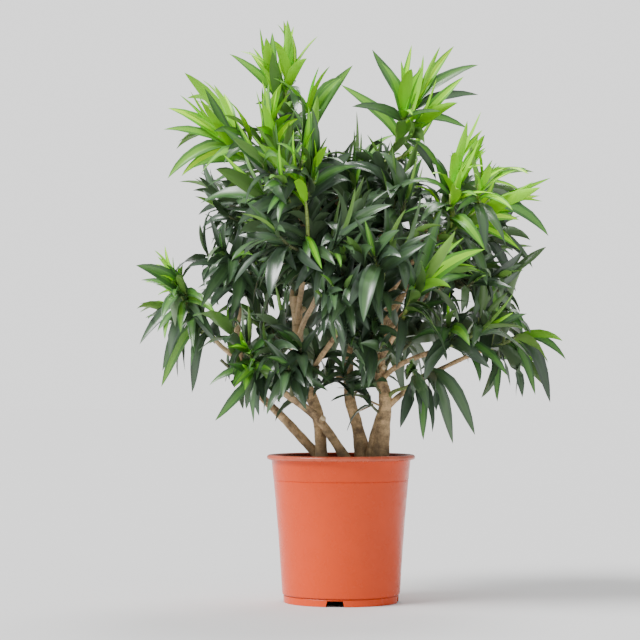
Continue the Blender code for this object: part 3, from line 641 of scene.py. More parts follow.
def blade_points(middle, ways, aside, twist, breadth, age, rng):
    """Rows of points along a leaf's middle line: five across its upper side, one under its midrib."""
    stations = np.append(LEAF_ROWS, 1.0)
    turned = (twist * stations)[:, None]
    across = aside * np.cos(turned) + np.cross(ways, aside) * np.sin(turned)
    across -= ways * (across * ways).sum(axis=1)[:, None]
    across /= np.linalg.norm(across, axis=1)[:, None]
    up = np.cross(ways, across)
    blade = stations**0.62 * (1.0 - stations)**0.94
    half = breadth / 2 * (0.19 * (1.0 - stations)**5 + blade / blade.max())[:-1, None]
    fold = np.radians(10 + 26 * age**3 + 24 * (1.0 - stations[:-1])**4)[:, None]
    waves = rng.uniform(1.5, 2.8)
    ripple = 0.12 * (1.0 - 0.6 * age) * np.sin(
        2 * math.pi * (waves * stations[:-1, None] + np.where(LEAF_COLUMNS < 0, *rng.choices(
            (0.0, 0.2, 0.4, 0.6, 0.8), k=2))))
    lift = np.abs(LEAF_COLUMNS) * (np.sin(fold) + ripple) + 0.10 * (np.abs(LEAF_COLUMNS) == 0.5)
    rows = middle[:-1, None] + across[:-1, None] * (half * LEAF_COLUMNS * np.cos(fold))[..., None]
    rows = rows + up[:-1, None] * (half * lift)[..., None]
    thick = 0.0011 - 0.0005 * stations[:-1, None]
    under = rows[:, 2] - up[:-1] * thick
    points = np.concatenate([rows, under[:, None]], axis=1).reshape(-1, 3)
    return np.concatenate([points, middle[-1:]])


def leaf_faces():
    """The faces of one leaf, and for each the part it shows: band, edge, underside or root."""
    faces, parts = [], []
    last = len(LEAF_ROWS) - 1
    tip = LEAF_POINTS - 1
    for row in range(last + 1):
        a, b = row * 6, row * 6 + 6
        for column in range(4):
            edge = column in (0, 3)
            if row < last:
                faces.append((a + column, a + column + 1, b + column + 1, b + column))
            else:
                faces.append((a + column, a + column + 1, tip))
            parts.append(3 if row == 0 else int(edge))
        for pair in ((0, 5), (5, 4)):
            if row < last:
                faces.append((a + pair[1], a + pair[0], b + pair[0], b + pair[1]))
            else:
                faces.append((a + pair[1], a + pair[0], tip))
            parts.append(2)
    for column in range(4):
        faces.append((column + 1, column, 5))
        parts.append(3)
    return faces, parts


def coarse_leaf(points, in_sheaf):
    """A leaf's outline as a few faces, to test what it crosses: in a sheaf only its outer part."""
    rows = [24, 36, 42] if in_sheaf else [6, 18, 30, 42]
    ring = [i for row in rows for i in (row, row + 2, row + 4)]
    places = points[ring].tolist() + [points[-1].tolist()]
    faces = []
    for row in range(len(rows) - 1):
        a = row * 3
        faces += [(a, a + 1, a + 4, a + 3), (a + 1, a + 2, a + 5, a + 4)]
    a = (len(rows) - 1) * 3
    faces += [(a, a + 1, a + 3), (a + 1, a + 2, a + 3)]
    return BVHTree.FromPolygons(places, faces)


def stays_in(points, centre, others, overlap):
    """Whether the points keep to this mass's space, or reach little over its borders."""
    for other in others:
        away = unit(other - centre)
        if ((points - (centre + other) / 2) @ away).max() > overlap:
            return False
    return True


def clear_of(points, spots, reach):
    """Whether the points keep their distance from spots, which are points with a radius."""
    gaps = np.linalg.norm(points[:, None] - spots[None, :, :3], axis=2) - spots[None, :, 3]
    return bool(gaps.min() > reach)


def spots_of(line, radii, spacing=0.004):
    points, widths, _ = resample(line, radii, spacing)
    return np.concatenate([points, widths[:, None]], axis=1)


def in_box(points, box):
    """Whether the points lie in the solids' own box, give or take a little."""
    low, high = box
    return bool((points > low).all() and (points < high).all())


def in_opening(points, settings):
    """Whether any of the points would show in an opening, from where the photograph was taken."""
    shrink = settings.distance / (settings.distance + points[:, 1])
    across = points[:, 0] * shrink
    up = settings.eye_height + (points[:, 2] - settings.eye_height) * shrink
    for x, z, half_width, half_height in OPENINGS:
        away = ((across - x) / half_width) ** 2 + ((up - z) / half_height) ** 2
        if away.min() < 1.0:
            return True
    for x, z, half_width, half_height, depth in WINDOWS:
        away = ((across - x) / half_width) ** 2 + ((up - z) / half_height) ** 2
        if (away[points[:, 1] < depth] < 1.0).any():
            return True
    return False


def above_hem(points, droop):
    """Whether the points keep above the crown's hem, which hangs lower further out."""
    out = np.hypot(points[:, 0], points[:, 1])
    hem = HEM_HEIGHT - HEM_SLOPE * np.maximum(out - HEM_RADIUS, 0.0) - HEM_DROOP * (droop - 0.9)
    return bool((points[:, 2] > hem).all())


def side_shoot(rng, line, bare):
    """A shoot that leaves the main stem and turns up towards the light."""
    turn = rng.uniform(0.0, 2 * math.pi)
    start, axis = point_along(line, bare + (1.0 - bare) * rng.uniform(*SIDE_SHOOT_FROM))
    out = unit(way_out(axis, turn) + axis / 2)
    length = rng.uniform(*SIDE_SHOOT_LENGTH)
    return bezier(start, start + out * length / 3, start + (out + UP / 4) * length / 1.5,
                  start + unit(out + UP / 2) * length, 10)


def all_limbs():
    """The middle line and radii of every stem and bough."""
    limbs = {name: stem_line(stem) for name, stem in STEMS.items()}
    for mass in MASSES:
        if mass.bough:
            limbs["bough_" + mass.name] = bough_line(mass, limbs)
    return limbs


def leaf_kind(tint, age, rng):
    """Which kind of leaf grows at this age on a shoot of this tint."""
    chance = age + rng.uniform(-0.15, 0.15)
    if tint == "young":
        return "young" if chance > 0.35 else "fresh" if chance > 0.08 else "deep"
    if tint == "half":
        return "young" if chance > 0.62 else "fresh" if chance > 0.15 else "deep"
    if tint == "fresh":
        return "young" if chance > 0.92 else "fresh" if chance > 0.42 else "deep"
    return "fresh" if chance > 0.88 else "deep"


def leaf_shade(name, kind, rng):
    """Which shade of its kind a leaf of this mass has: the paler shades out in the light as painted light, and no
    palest young shade elsewhere.
    """
    shade = rng.randrange(SHADES)
    if name in SUNLIT:
        return shade // 2
    return max(shade, 1) if kind == "young" else shade


def grow_plant(settings, studio):
    """All shoots and leaves: a list of shoots, and each kind's leaves with their shades."""
    limbs = all_limbs()
    lines = {mass.name: shoot_line(mass, limbs) for mass in MASSES}
    centres = {
        name: point_along(line, bare + (1.0 - bare) * MASS_CENTRE_SHARE)[0]
        for name, (line, _, bare) in lines.items()
    }
    low, high = (np.array(corner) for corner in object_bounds())
    box = (low - 0.006, high + 0.006)
    rigid = [spots_of(*limb) for limb in limbs.values()]
    stalks = {name: spots_of(line, radii) for name, (line, radii, _) in lines.items()}
    shoots = []
    leaves = {kind: [] for kind in LEAF_LOOKS}
    for number, mass in enumerate(MASSES):
        rng = random.Random(settings.seed + number)
        line, radii, bare = lines[mass.name]
        others = [c for name, c in centres.items() if name != mass.name]
        blocked = np.concatenate(rigid + [s for n, s in stalks.items() if n != mass.name])
        shoots.append((line, radii, mass.tint))
        lean = np.array(LEAN.get(mass.name, (0.0, 0.0, 0.0)))
        runs = [(line, bare, FEW_LEAVES.get(mass.name, MAIN_LEAVES[mass.tint]), 1.0)]
        for _ in range(round(settings.side_shoots * SPARSE.get(mass.name, 1.0))):
            for _ in range(SIDE_SHOOT_TRIES):
                branch = side_shoot(rng, line, bare)
                far_end = branch[len(branch) // 3:]
                if in_opening(far_end, studio) or not clear_of(far_end, blocked, 0.004):
                    continue
                if stays_in(far_end, centres[mass.name], others, 0.0):
                    shoots.append((branch, np.linspace(0.0030, 0.0022, len(branch)), mass.tint))
                    runs.append((branch, SIDE_SHOOT_BARE, SIDE_LEAVES[mass.tint], 1.0))
                    break
        if mass.bough and mass.name not in BARE_BOUGHS:
            runs.append((limbs["bough_" + mass.name][0], BOUGH_BARE, BOUGH_LEAVES, 0.3))
        placed = []
        for place, (name, share, x, z, arch, facing, kind) in enumerate(LONE_LEAVES):
            if name == mass.name:
                chance = random.Random(settings.seed + 300 + place)
                points = lone_leaf(line, bare + (1.0 - bare) * share, x, z, arch, facing,
                                   settings.leaf_width * 0.88, studio, chance)
                placed.append((points[26], coarse_leaf(points, False)))
                leaves[kind].append((points, leaf_shade(name, kind, chance)))
        for run, run_bare, count, youngest in runs:
            for i in range(count):
                age = i / (count - 1)
                along = FIRST_LEAF + (1.0 - FIRST_LEAF) * age
                root, axis = point_along(run, run_bare + (LAST_LEAF - run_bare) * along)
                age *= youngest
                axis = unit(axis + lean * age)
                if youngest < 1.0 and root[2] < LOWEST_BOUGH_LEAF:
                    continue
                for attempt in range(LEAF_TRIES):
                    turn = i * GOLDEN_TURN + rng.uniform(-0.4, 0.4) + attempt * TURN_EACH_TRY
                    length = mass.leaf * rng.uniform(*LEAF_SHARE[mass.tint]) * (1.0 - SHORTER_EACH_TRY * attempt)
                    length *= 1.0 - YOUNG_SHORTER * max(age - GROWN_UNTIL, 0.0)
                    width = settings.leaf_width * BREADTH[mass.tint] * rng.uniform(*WIDTH_SCATTER)
                    width *= 1.0 - 0.35 * max(age - 0.8, 0.0) / 0.2
                    points = leaf_points(root, axis, turn, age, length, mass, width, rng)
                    if not in_box(points, box) or not above_hem(points, mass.droop):
                        continue
                    outer = points[12:]
                    if in_opening(outer[2::6], studio):
                        continue
                    if not stays_in(outer, centres[mass.name], others, CELL_OVERLAP):
                        continue
                    if not clear_of(outer[::2], blocked, LIMB_CLEARANCE):
                        continue
                    tree = coarse_leaf(points, age > SHEAF_FROM)
                    middle = points[26]
                    near = [other for place, other in placed
                            if np.linalg.norm(place - middle) < mass.leaf * 1.1]
                    if any(tree.overlap(other) for other in near):
                        continue
                    placed.append((middle, tree))
                    tint = SHOWN_TINT.get(mass.name, mass.tint)
                    kind = leaf_kind(tint, age, rng)
                    leaves[kind].append((points, leaf_shade(mass.name, kind, rng)))
                    break
        print(mass.name, len(runs), "runs", len(placed), "leaves")
    rigid = np.concatenate(rigid)
    grow_sprigs(settings, limbs, rigid, shoots, leaves)
    grow_tufts(settings, lines, rigid, shoots, leaves)
    return shoots, leaves


def grow_tufts(settings, lines, rigid, shoots, leaves):
    """Lone shoots of short bright leaves that stand out from the crown."""
    for number, (name, tip, lean, count, longest) in enumerate(TUFTS):
        rng = random.Random(settings.seed + 200 + number)
        carrier = Mass(name, None, None, None, None, False, longest, 0.3, "young")
        start, heading = point_along(lines[name][0], 0.6)
        tip = np.array(tip)
        reach = np.linalg.norm(tip - start) / 3
        end = unit(tip - start + np.array(lean))
        line = bezier(start, start + heading * reach, tip - end * reach, tip, 12)
        shoots.append((line, np.linspace(0.0036, 0.0022, len(line)), "young"))
        for i in range(count):
            age = 0.25 + 0.75 * i / (count - 1)
            root, axis = point_along(line, 0.55 + 0.44 * i / (count - 1))
            for attempt in range(LEAF_TRIES):
                turn = i * GOLDEN_TURN + rng.uniform(-0.4, 0.4) + attempt * TURN_EACH_TRY
                length = longest * rng.uniform(0.8, 1.1)
                points = leaf_points(root, axis, turn, age, length, carrier, settings.leaf_width, rng)
                if clear_of(points[18::2], rigid, 0.002):
                    leaves["young"].append((points, leaf_shade(name, "young", rng)))
                    break


def grow_sprigs(settings, limbs, rigid, shoots, leaves):
    """Short sprigs of a few dark leaves, sprouting low on the bare stems."""
    carrier = Mass("sprig", None, None, None, None, False, SPRIG_LEAF, 0.6, "deep")
    for number, (limb, height, turn, length) in enumerate(SPRIGS):
        rng = random.Random(settings.seed + 100 + number)
        start, _ = place_on(limbs[limb], height)
        turn = math.radians(turn)
        out = np.array((math.cos(turn), math.sin(turn), 0.55))
        line = bezier(start, start + out * length / 3, start + out * length / 1.5,
                      start + unit(out + UP / 2) * (length + float(limbs[limb][1].mean())), 10)
        shoots.append((line, np.linspace(0.0026, 0.0020, len(line)), "deep"))
        for i in range(SPRIG_LEAVES):
            age = 0.15 + 0.6 * i / (SPRIG_LEAVES - 1)
            root, axis = point_along(line, 0.6 + 0.39 * i / (SPRIG_LEAVES - 1))
            for attempt in range(LEAF_TRIES):
                turned = i * GOLDEN_TURN + rng.uniform(-0.4, 0.4) + attempt * TURN_EACH_TRY
                length_now = SPRIG_LEAF * rng.uniform(0.8, 1.1)
                points = leaf_points(root, axis, turned, age, length_now, carrier,
                                     settings.leaf_width * 1.25, rng)
                if points[:, 2].min() > SOIL_LEVEL + 0.05 and clear_of(points[18::2], rigid, 0.002):
                    leaves["deep"].append((points, rng.randrange(SHADES)))
                    break


def array_mesh(name, points, faces, slots, materials):
    """A smooth-shaded mesh from arrays, with a material slot for each face."""
    mesh = bpy.data.meshes.new(name)
    mesh.from_pydata(np.asarray(points).tolist(), [], faces)
    for made in materials:
        mesh.materials.append(made)
    mesh.polygons.foreach_set("material_index", np.asarray(slots, np.int32))
    mesh.shade_smooth()
    mesh.update()
    piece = bpy.data.objects.new(name, mesh)
    bpy.context.scene.collection.objects.link(piece)
    return piece


def plain_finish(name, colour, roughness, shine):
    """A finish of one plain colour, for leaves, whose colours lie on their own faces."""
    made = bpy.data.materials.new(name)
    made.use_nodes = True
    shader = made.node_tree.nodes["Principled BSDF"]
    shader.inputs["Base Color"].default_value = (*colour, 1.0)
    shader.inputs["Roughness"].default_value = roughness
    shader.inputs["Specular IOR Level"].default_value = shine
    return made


def sharpen_margins(mesh):
    """Marks the two margins of every leaf as sharp, so that each side is shaded on its own."""
    ends = np.empty(len(mesh.edges) * 2, np.int32)
    mesh.edges.foreach_get("vertices", ends)
    local = ends.reshape(-1, 2) % LEAF_POINTS
    columns = np.where(local == LEAF_POINTS - 1, -1, local % 6)
    on_margin = ((columns == 0) | (columns == 4) | (columns == -1)).all(axis=1)
    same_side = (columns[:, 0] == columns[:, 1]) | (columns == -1).any(axis=1)
    marks = mesh.attributes.new("sharp_edge", "BOOLEAN", "EDGE")
    marks.data.foreach_set("value", on_margin & same_side)


def leaf_piece(kind, leaves):
    """All leaves of one kind, joined, with their band, edge, underside and root colours."""
    faces, parts = leaf_faces()
    materials = []
    for shade, looks in enumerate(LEAF_LOOKS[kind]):
        for part, colour in zip(("band", "edge", "underside", "root"), looks):
            name = f"{kind}_leaf_{part}_{shade + 1}"
            materials.append(plain_finish(name, colour, LEAF_ROUGHNESS[kind], LEAF_SHINE[kind]))
    points = np.concatenate([leaf for leaf, _ in leaves])
    every = np.array([f + (f[0],) * (4 - len(f)) for f in faces])
    sizes = [len(f) for f in faces]
    all_faces = []
    slots = []
    for number, (_, shade) in enumerate(leaves):
        shifted = (every + number * LEAF_POINTS).tolist()
        all_faces += [tuple(f[:n]) for f, n in zip(shifted, sizes)]
        slots += [shade * 4 + part for part in parts]
    piece = array_mesh(f"{kind}_leaves", points, all_faces, slots, materials)
    sharpen_margins(piece.data)
    return piece


def tube_rings(line, radii, sides, shape=None):
    """Rings of points round a line, turned as little as can be; shape adds to the radii."""
    tangents = np.gradient(line, axis=0)
    tangents /= np.linalg.norm(tangents, axis=1)[:, None]
    side = unit(np.cross(tangents[0], ODD_WAY))
    turns = 2 * math.pi * np.arange(sides) / sides
    rings = []
    for i, (point, ahead) in enumerate(zip(line, tangents)):
        side = unit(side - ahead * side.dot(ahead))
        other = np.cross(ahead, side)
        around = np.outer(np.cos(turns), side) + np.outer(np.sin(turns), other)
        radius = radii[i] if shape is None else radii[i] + shape[i]
        rings.append(point + np.reshape(radius, (-1, 1)) * around)
    return rings


def closed_tube(rings, offset, end_slot, slot):
    """Faces of a tube round the rings, with a cap on each end, and their slots."""
    sides = len(rings[0])
    faces, slots = [], []
    for low in range(len(rings) - 1):
        a, b = offset + low * sides, offset + (low + 1) * sides
        for i in range(sides):
            j = (i + 1) % sides
            faces.append((a + i, a + j, b + j, b + i))
            slots.append(slot)
    faces.append(tuple(offset + i for i in range(sides))[::-1])
    top = offset + (len(rings) - 1) * sides
    faces.append(tuple(top + i for i in range(sides)))
    slots += [slot, end_slot]
    return faces, slots


def bark_shape(places, radii, sides, rng, scar_gap):
    """How far bark stands proud of a smooth limb, and how strong a leaf scar is at each point."""
    turns = 2 * math.pi * np.arange(sides) / sides
    rise = np.zeros((len(places), sides))
    for waves, height in ((2, 0.045), (3, 0.035), (5, 0.022)):
        swirl = rng.uniform(20.0, 60.0)
        rise += radii[:, None] * height * np.sin(waves * turns + swirl * places[:, None] + rng.uniform(0, 6))
    rise += radii[:, None] * 0.03 * np.sin(places[:, None] * rng.uniform(150, 220) + rng.uniform(0, 6))
    scars = np.zeros((len(places), sides))
    place = rng.uniform(0.0, scar_gap)
    while place < places[-1]:
        lean = rng.uniform(0, 2 * math.pi)
        level = place + 0.0009 * np.cos(turns - lean)
        near = np.exp(-(((places[:, None] - level) / 0.0010) ** 2))
        scars += near * (0.65 + 0.35 * np.cos(turns - lean))
        place += scar_gap * rng.uniform(0.6, 1.5)
    return rise + 0.00045 * scars, scars.clip(0.0, 1.0)


def limb_piece(name, limbs, sides, spacing, scar_gap, seed, materials):
    """Limbs joined in one mesh with bark relief, and their leaf scars as an attribute."""
    rng = random.Random(seed)
    points, faces, slots, marks = [], [], [], []
    for line, radii in limbs:
        line, radii, places = resample(line, radii, spacing)
        shape, scars = bark_shape(places, radii, sides, rng, scar_gap)
        rings = tube_rings(line, radii, sides, shape)
        more, more_slots = closed_tube(rings, len(points) * sides, len(materials) - 1, 0)
        points += rings
        faces += more
        slots += more_slots
        marks.append(scars)
    piece = array_mesh(name, np.concatenate(points), faces, slots, materials)
    scar = piece.data.attributes.new("scar", "FLOAT", "POINT")
    scar.data.foreach_set("value", np.concatenate(marks).ravel().astype(np.float32))
    return piece


def fork_flank(way):
    """A flank of the fork: a limb that widens from inside its stem down to the soil."""
    line = smooth_way(way, 12)
    return line, np.linspace(*FORK_RADII, len(line))


def stub_line(limbs, row):
    """A sawn-off shoot, from the middle of its limb out to its flat cut."""
    limb, height, turn, length, radius = row
    start, _ = place_on(limbs[limb], height)
    turn = math.radians(turn)
    out = unit(np.array((math.cos(turn), math.sin(turn), 0.45)))
    reach = float(limbs[limb][1].mean()) + length
    line = start + out * np.linspace(0.0, reach, 8)[:, None]
    return line, np.linspace(radius * 1.15, radius, 8)


def new_material(name):
    made = bpy.data.materials.new(name)
    made.use_nodes = True
    tree = made.node_tree
    return made, tree, tree.nodes["Principled BSDF"]


def mottle_group():
    """Shader group: a colour that wanders between a light and a dark tone of itself."""
    group = bpy.data.node_groups.get("Mottle")
    if group:
        return group
    group = bpy.data.node_groups.new("Mottle", "ShaderNodeTree")
    for name, kind in (("Light tone", "NodeSocketColor"), ("Dark tone", "NodeSocketColor"),
                       ("Scale", "NodeSocketFloat"), ("Contrast", "NodeSocketFloat")):
        group.interface.new_socket(name, in_out="INPUT", socket_type=kind)
    group.interface.new_socket("Color", in_out="OUTPUT", socket_type="NodeSocketColor")
    group.interface.new_socket("Value", in_out="OUTPUT", socket_type="NodeSocketFloat")
    nodes, links = group.nodes, group.links
    given = nodes.new("NodeGroupInput")
    out = nodes.new("NodeGroupOutput")
    place = nodes.new("ShaderNodeTexCoord")
    noise = nodes.new("ShaderNodeTexNoise")
    noise.inputs["Detail"].default_value = 6.0
    noise.inputs["Roughness"].default_value = 0.6
    centred = nodes.new("ShaderNodeMath")
    centred.operation = "SUBTRACT"
    centred.inputs[1].default_value = 0.5
    stretch = nodes.new("ShaderNodeMath")
    stretch.operation = "MULTIPLY_ADD"
    stretch.inputs[2].default_value = 0.5
    stretch.use_clamp = True
    mix = nodes.new("ShaderNodeMix")
    mix.data_type = "RGBA"
    links.new(place.outputs["Object"], noise.inputs["Vector"])
    links.new(given.outputs["Scale"], noise.inputs["Scale"])
    links.new(noise.outputs["Fac"], centred.inputs[0])
    links.new(centred.outputs[0], stretch.inputs[0])
    links.new(given.outputs["Contrast"], stretch.inputs[1])
    links.new(stretch.outputs[0], mix.inputs["Factor"])
    links.new(given.outputs["Dark tone"], mix.inputs["A"])
    links.new(given.outputs["Light tone"], mix.inputs["B"])
    links.new(mix.outputs["Result"], out.inputs["Color"])
    links.new(stretch.outputs[0], out.inputs["Value"])
    return group


def add_mottle(tree, light, dark, scale, contrast):
    node = tree.nodes.new("ShaderNodeGroup")
    node.node_tree = mottle_group()
    node.inputs["Light tone"].default_value = (*light, 1.0)
    node.inputs["Dark tone"].default_value = (*dark, 1.0)
    node.inputs["Scale"].default_value = scale
    node.inputs["Contrast"].default_value = contrast
    return node


def add_bump(tree, shader, height, strength, distance):
    bump = tree.nodes.new("ShaderNodeBump")
    bump.inputs["Strength"].default_value = strength
    bump.inputs["Distance"].default_value = distance
    tree.links.new(height, bump.inputs["Height"])
    tree.links.new(bump.outputs["Normal"], shader.inputs["Normal"])


def toned(colour, share):
    return tuple(min(c * share, 1.0) for c in colour)


def pot_plastic(settings, name="terracotta_plastic", share=1.0):
    """Terracotta-coloured plastic: nearly even, with faint clouding, dust and a fine grain. A share below one
    darkens all of it: the copy for the pot's inside uses that as painted shade.
    """
    made, tree, shader = new_material(name)
    shader.inputs["Specular IOR Level"].default_value = 0.24
    colour = toned(settings.plastic, share)
    clouds = add_mottle(tree, toned(colour, 1.03), toned(colour, 0.93), 14.0, 1.6)
    dust = add_mottle(tree, (1.0, 1.0, 1.0), (0.0, 0.0, 0.0), 45.0, 5.0)
    dusty = tree.nodes.new("ShaderNodeMix")
    dusty.data_type = "RGBA"
    dusty.inputs["B"].default_value = (*toned(colour, 0.80), 1.0)
    faint = tree.nodes.new("ShaderNodeMath")
    faint.operation = "MULTIPLY"
    faint.inputs[1].default_value = 0.12
    tree.links.new(dust.outputs["Value"], faint.inputs[0])
    tree.links.new(faint.outputs[0], dusty.inputs["Factor"])
    tree.links.new(clouds.outputs["Color"], dusty.inputs["A"])
    tree.links.new(dusty.outputs["Result"], shader.inputs["Base Color"])
    rough = tree.nodes.new("ShaderNodeMapRange")
    rough.inputs["To Min"].default_value = settings.gloss - 0.04
    rough.inputs["To Max"].default_value = settings.gloss + 0.08
    tree.links.new(dust.outputs["Value"], rough.inputs["Value"])
    tree.links.new(rough.outputs["Result"], shader.inputs["Roughness"])
    grain = add_mottle(tree, (1.0, 1.0, 1.0), (0.0, 0.0, 0.0), 900.0, 2.0)
    add_bump(tree, shader, grain.outputs["Value"], 0.08, 0.0004)
    return made


def rim_plastic(settings):
    """The lip: the same plastic, duller, its colour paler and less saturated as a painted reflection of the white
    surroundings, with paler streaks painted as highlights.
    """
    made, tree, shader = new_material("dusty_rim_plastic")
    shader.inputs["Specular IOR Level"].default_value = 0.5
    # Painted reflection: the lip's colour is lifted towards pink-grey, and streaked lighter and darker as painted
    # highlights
    sheen_tinted = tuple(0.72 * c + share for c, share in zip(settings.plastic, (0.02, 0.045, 0.035)))
    sheen_streaks = add_mottle(tree, toned(sheen_tinted, 1.15), toned(sheen_tinted, 0.85), 30.0, 3.0)
    tree.links.new(sheen_streaks.outputs["Color"], shader.inputs["Base Color"])
    rough = tree.nodes.new("ShaderNodeMapRange")
    rough.inputs["To Min"].default_value = 0.18
    rough.inputs["To Max"].default_value = 0.38
    tree.links.new(sheen_streaks.outputs["Value"], rough.inputs["Value"])
    tree.links.new(rough.outputs["Result"], shader.inputs["Roughness"])
    return made


def potting_soil(settings):
    made, tree, shader = new_material("potting_soil")
    shader.inputs["Roughness"].default_value = 0.95
    colour = tuple(settings.soil)
    crumbs = add_mottle(tree, toned(colour, 1.9), toned(colour, 0.45), 260.0, 2.6)
    tree.links.new(crumbs.outputs["Color"], shader.inputs["Base Color"])
    add_bump(tree, shader, crumbs.outputs["Value"], 0.8, 0.002)
    return made


def bark_finish(settings):
    """Pale brown bark in patches, with darker leaf scars and fine cracks, painted shade towards the soil and a
    painted pool of light high on the left.
    """
    made, tree, shader = new_material("stem_bark")
    shader.inputs["Roughness"].default_value = 0.78
    colour = tuple(settings.bark)
    patches = add_mottle(tree, toned(colour, 1.45), (0.22, 0.145, 0.080), 62.0, 3.6)
    cracks = add_mottle(tree, (1.0, 1.0, 1.0), (0.0, 0.0, 0.0), 520.0, 3.0)
    darker = tree.nodes.new("ShaderNodeMix")
    darker.data_type = "RGBA"
    darker.blend_type = "MULTIPLY"
    darker.inputs["Factor"].default_value = 0.30
    tree.links.new(patches.outputs["Color"], darker.inputs["A"])
    tree.links.new(cracks.outputs["Color"], darker.inputs["B"])
    place = tree.nodes.new("ShaderNodeTexCoord")
    height = tree.nodes.new("ShaderNodeSeparateXYZ")
    # Painted shade: the bark darkens over the lowest 9 cm above the soil, most at the soil line
    low = tree.nodes.new("ShaderNodeMapRange")
    for socket, value in (("From Min", SOIL_LEVEL), ("From Max", SOIL_LEVEL + 0.09), ("To Min", 0.75),
                          ("To Max", 0.0)):
        low.inputs[socket].default_value = value
    foot_shade = tree.nodes.new("ShaderNodeMix")
    foot_shade.data_type = "RGBA"
    foot_shade.inputs["B"].default_value = (*toned(colour, 0.38), 1.0)
    # Painted light: from 0.37 m up and left of the pot's axis, the bark is mixed up to halfway towards a pale tan,
    # as a pool of brighter light
    high = tree.nodes.new("ShaderNodeMapRange")
    for socket, value in (("From Min", 0.37), ("From Max", 0.47), ("To Min", 0.0), ("To Max", 0.50)):
        high.inputs[socket].default_value = value
    left = tree.nodes.new("ShaderNodeMapRange")
    for socket, value in (("From Min", -0.05), ("From Max", -0.02), ("To Min", 1.0), ("To Max", 0.0)):
        left.inputs[socket].default_value = value
    lit_share = tree.nodes.new("ShaderNodeMath")
    lit_share.operation = "MULTIPLY"
    pale = tree.nodes.new("ShaderNodeMix")
    pale.data_type = "RGBA"
    pale.inputs["B"].default_value = (0.95, 0.70, 0.42, 1.0)
    tree.links.new(place.outputs["Object"], height.inputs["Vector"])
    tree.links.new(height.outputs["Z"], high.inputs["Value"])
    tree.links.new(height.outputs["X"], left.inputs["Value"])
    tree.links.new(high.outputs["Result"], lit_share.inputs[0])
    tree.links.new(left.outputs["Result"], lit_share.inputs[1])
    tree.links.new(lit_share.outputs[0], pale.inputs["Factor"])
    tree.links.new(darker.outputs["Result"], pale.inputs["A"])
    tree.links.new(height.outputs["Z"], low.inputs["Value"])
    tree.links.new(low.outputs["Result"], foot_shade.inputs["Factor"])
    tree.links.new(pale.outputs["Result"], foot_shade.inputs["A"])
    scar = tree.nodes.new("ShaderNodeAttribute")
    scar.attribute_name = "scar"
    scarred = tree.nodes.new("ShaderNodeMix")
    scarred.data_type = "RGBA"
    scarred.inputs["B"].default_value = (*toned(colour, 0.36), 1.0)
    soften = tree.nodes.new("ShaderNodeMath")
    soften.operation = "MULTIPLY"
    soften.inputs[1].default_value = 0.50
    tree.links.new(scar.outputs["Fac"], soften.inputs[0])
    tree.links.new(soften.outputs[0], scarred.inputs["Factor"])
    tree.links.new(foot_shade.outputs["Result"], scarred.inputs["A"])
    tree.links.new(scarred.outputs["Result"], shader.inputs["Base Color"])
    add_bump(tree, shader, cracks.outputs["Value"], 0.5, 0.0008)
    return made


def cut_wood(settings):
    made, tree, shader = new_material("cut_wood")
    shader.inputs["Roughness"].default_value = 0.85
    grain = add_mottle(tree, (0.86, 0.70, 0.45), (0.66, 0.47, 0.26), 300.0, 2.0)
    tree.links.new(grain.outputs["Color"], shader.inputs["Base Color"])
    return made


def shoot_finish(name, light, dark):
    """The green skin of a leafy shoot, ringed by leaf scars."""
    made, tree, shader = new_material(name)
    shader.inputs["Roughness"].default_value = 0.5
    skin = add_mottle(tree, light, dark, 120.0, 1.8)
    scar = tree.nodes.new("ShaderNodeAttribute")
    scar.attribute_name = "scar"
    ringed = tree.nodes.new("ShaderNodeMix")
    ringed.data_type = "RGBA"
    ringed.inputs["B"].default_value = (*toned(dark, 0.55), 1.0)
    tree.links.new(scar.outputs["Fac"], ringed.inputs["Factor"])
    tree.links.new(skin.outputs["Color"], ringed.inputs["A"])
    tree.links.new(ringed.outputs["Result"], shader.inputs["Base Color"])
    return made


def wall_radius(height):
    """The pot's outer radius between its foot and its lip: a taper, hollowed a little."""
    low, high = FOOT_HEIGHT, POT_HEIGHT - LIP_HEIGHT
    share = (height - low) / (high - low)
    straight = BODY_FOOT_RADIUS + share * (NECK_RADIUS - BODY_FOOT_RADIUS)
    return straight - HOLLOW_OF_BODY * math.sin(math.pi * share)


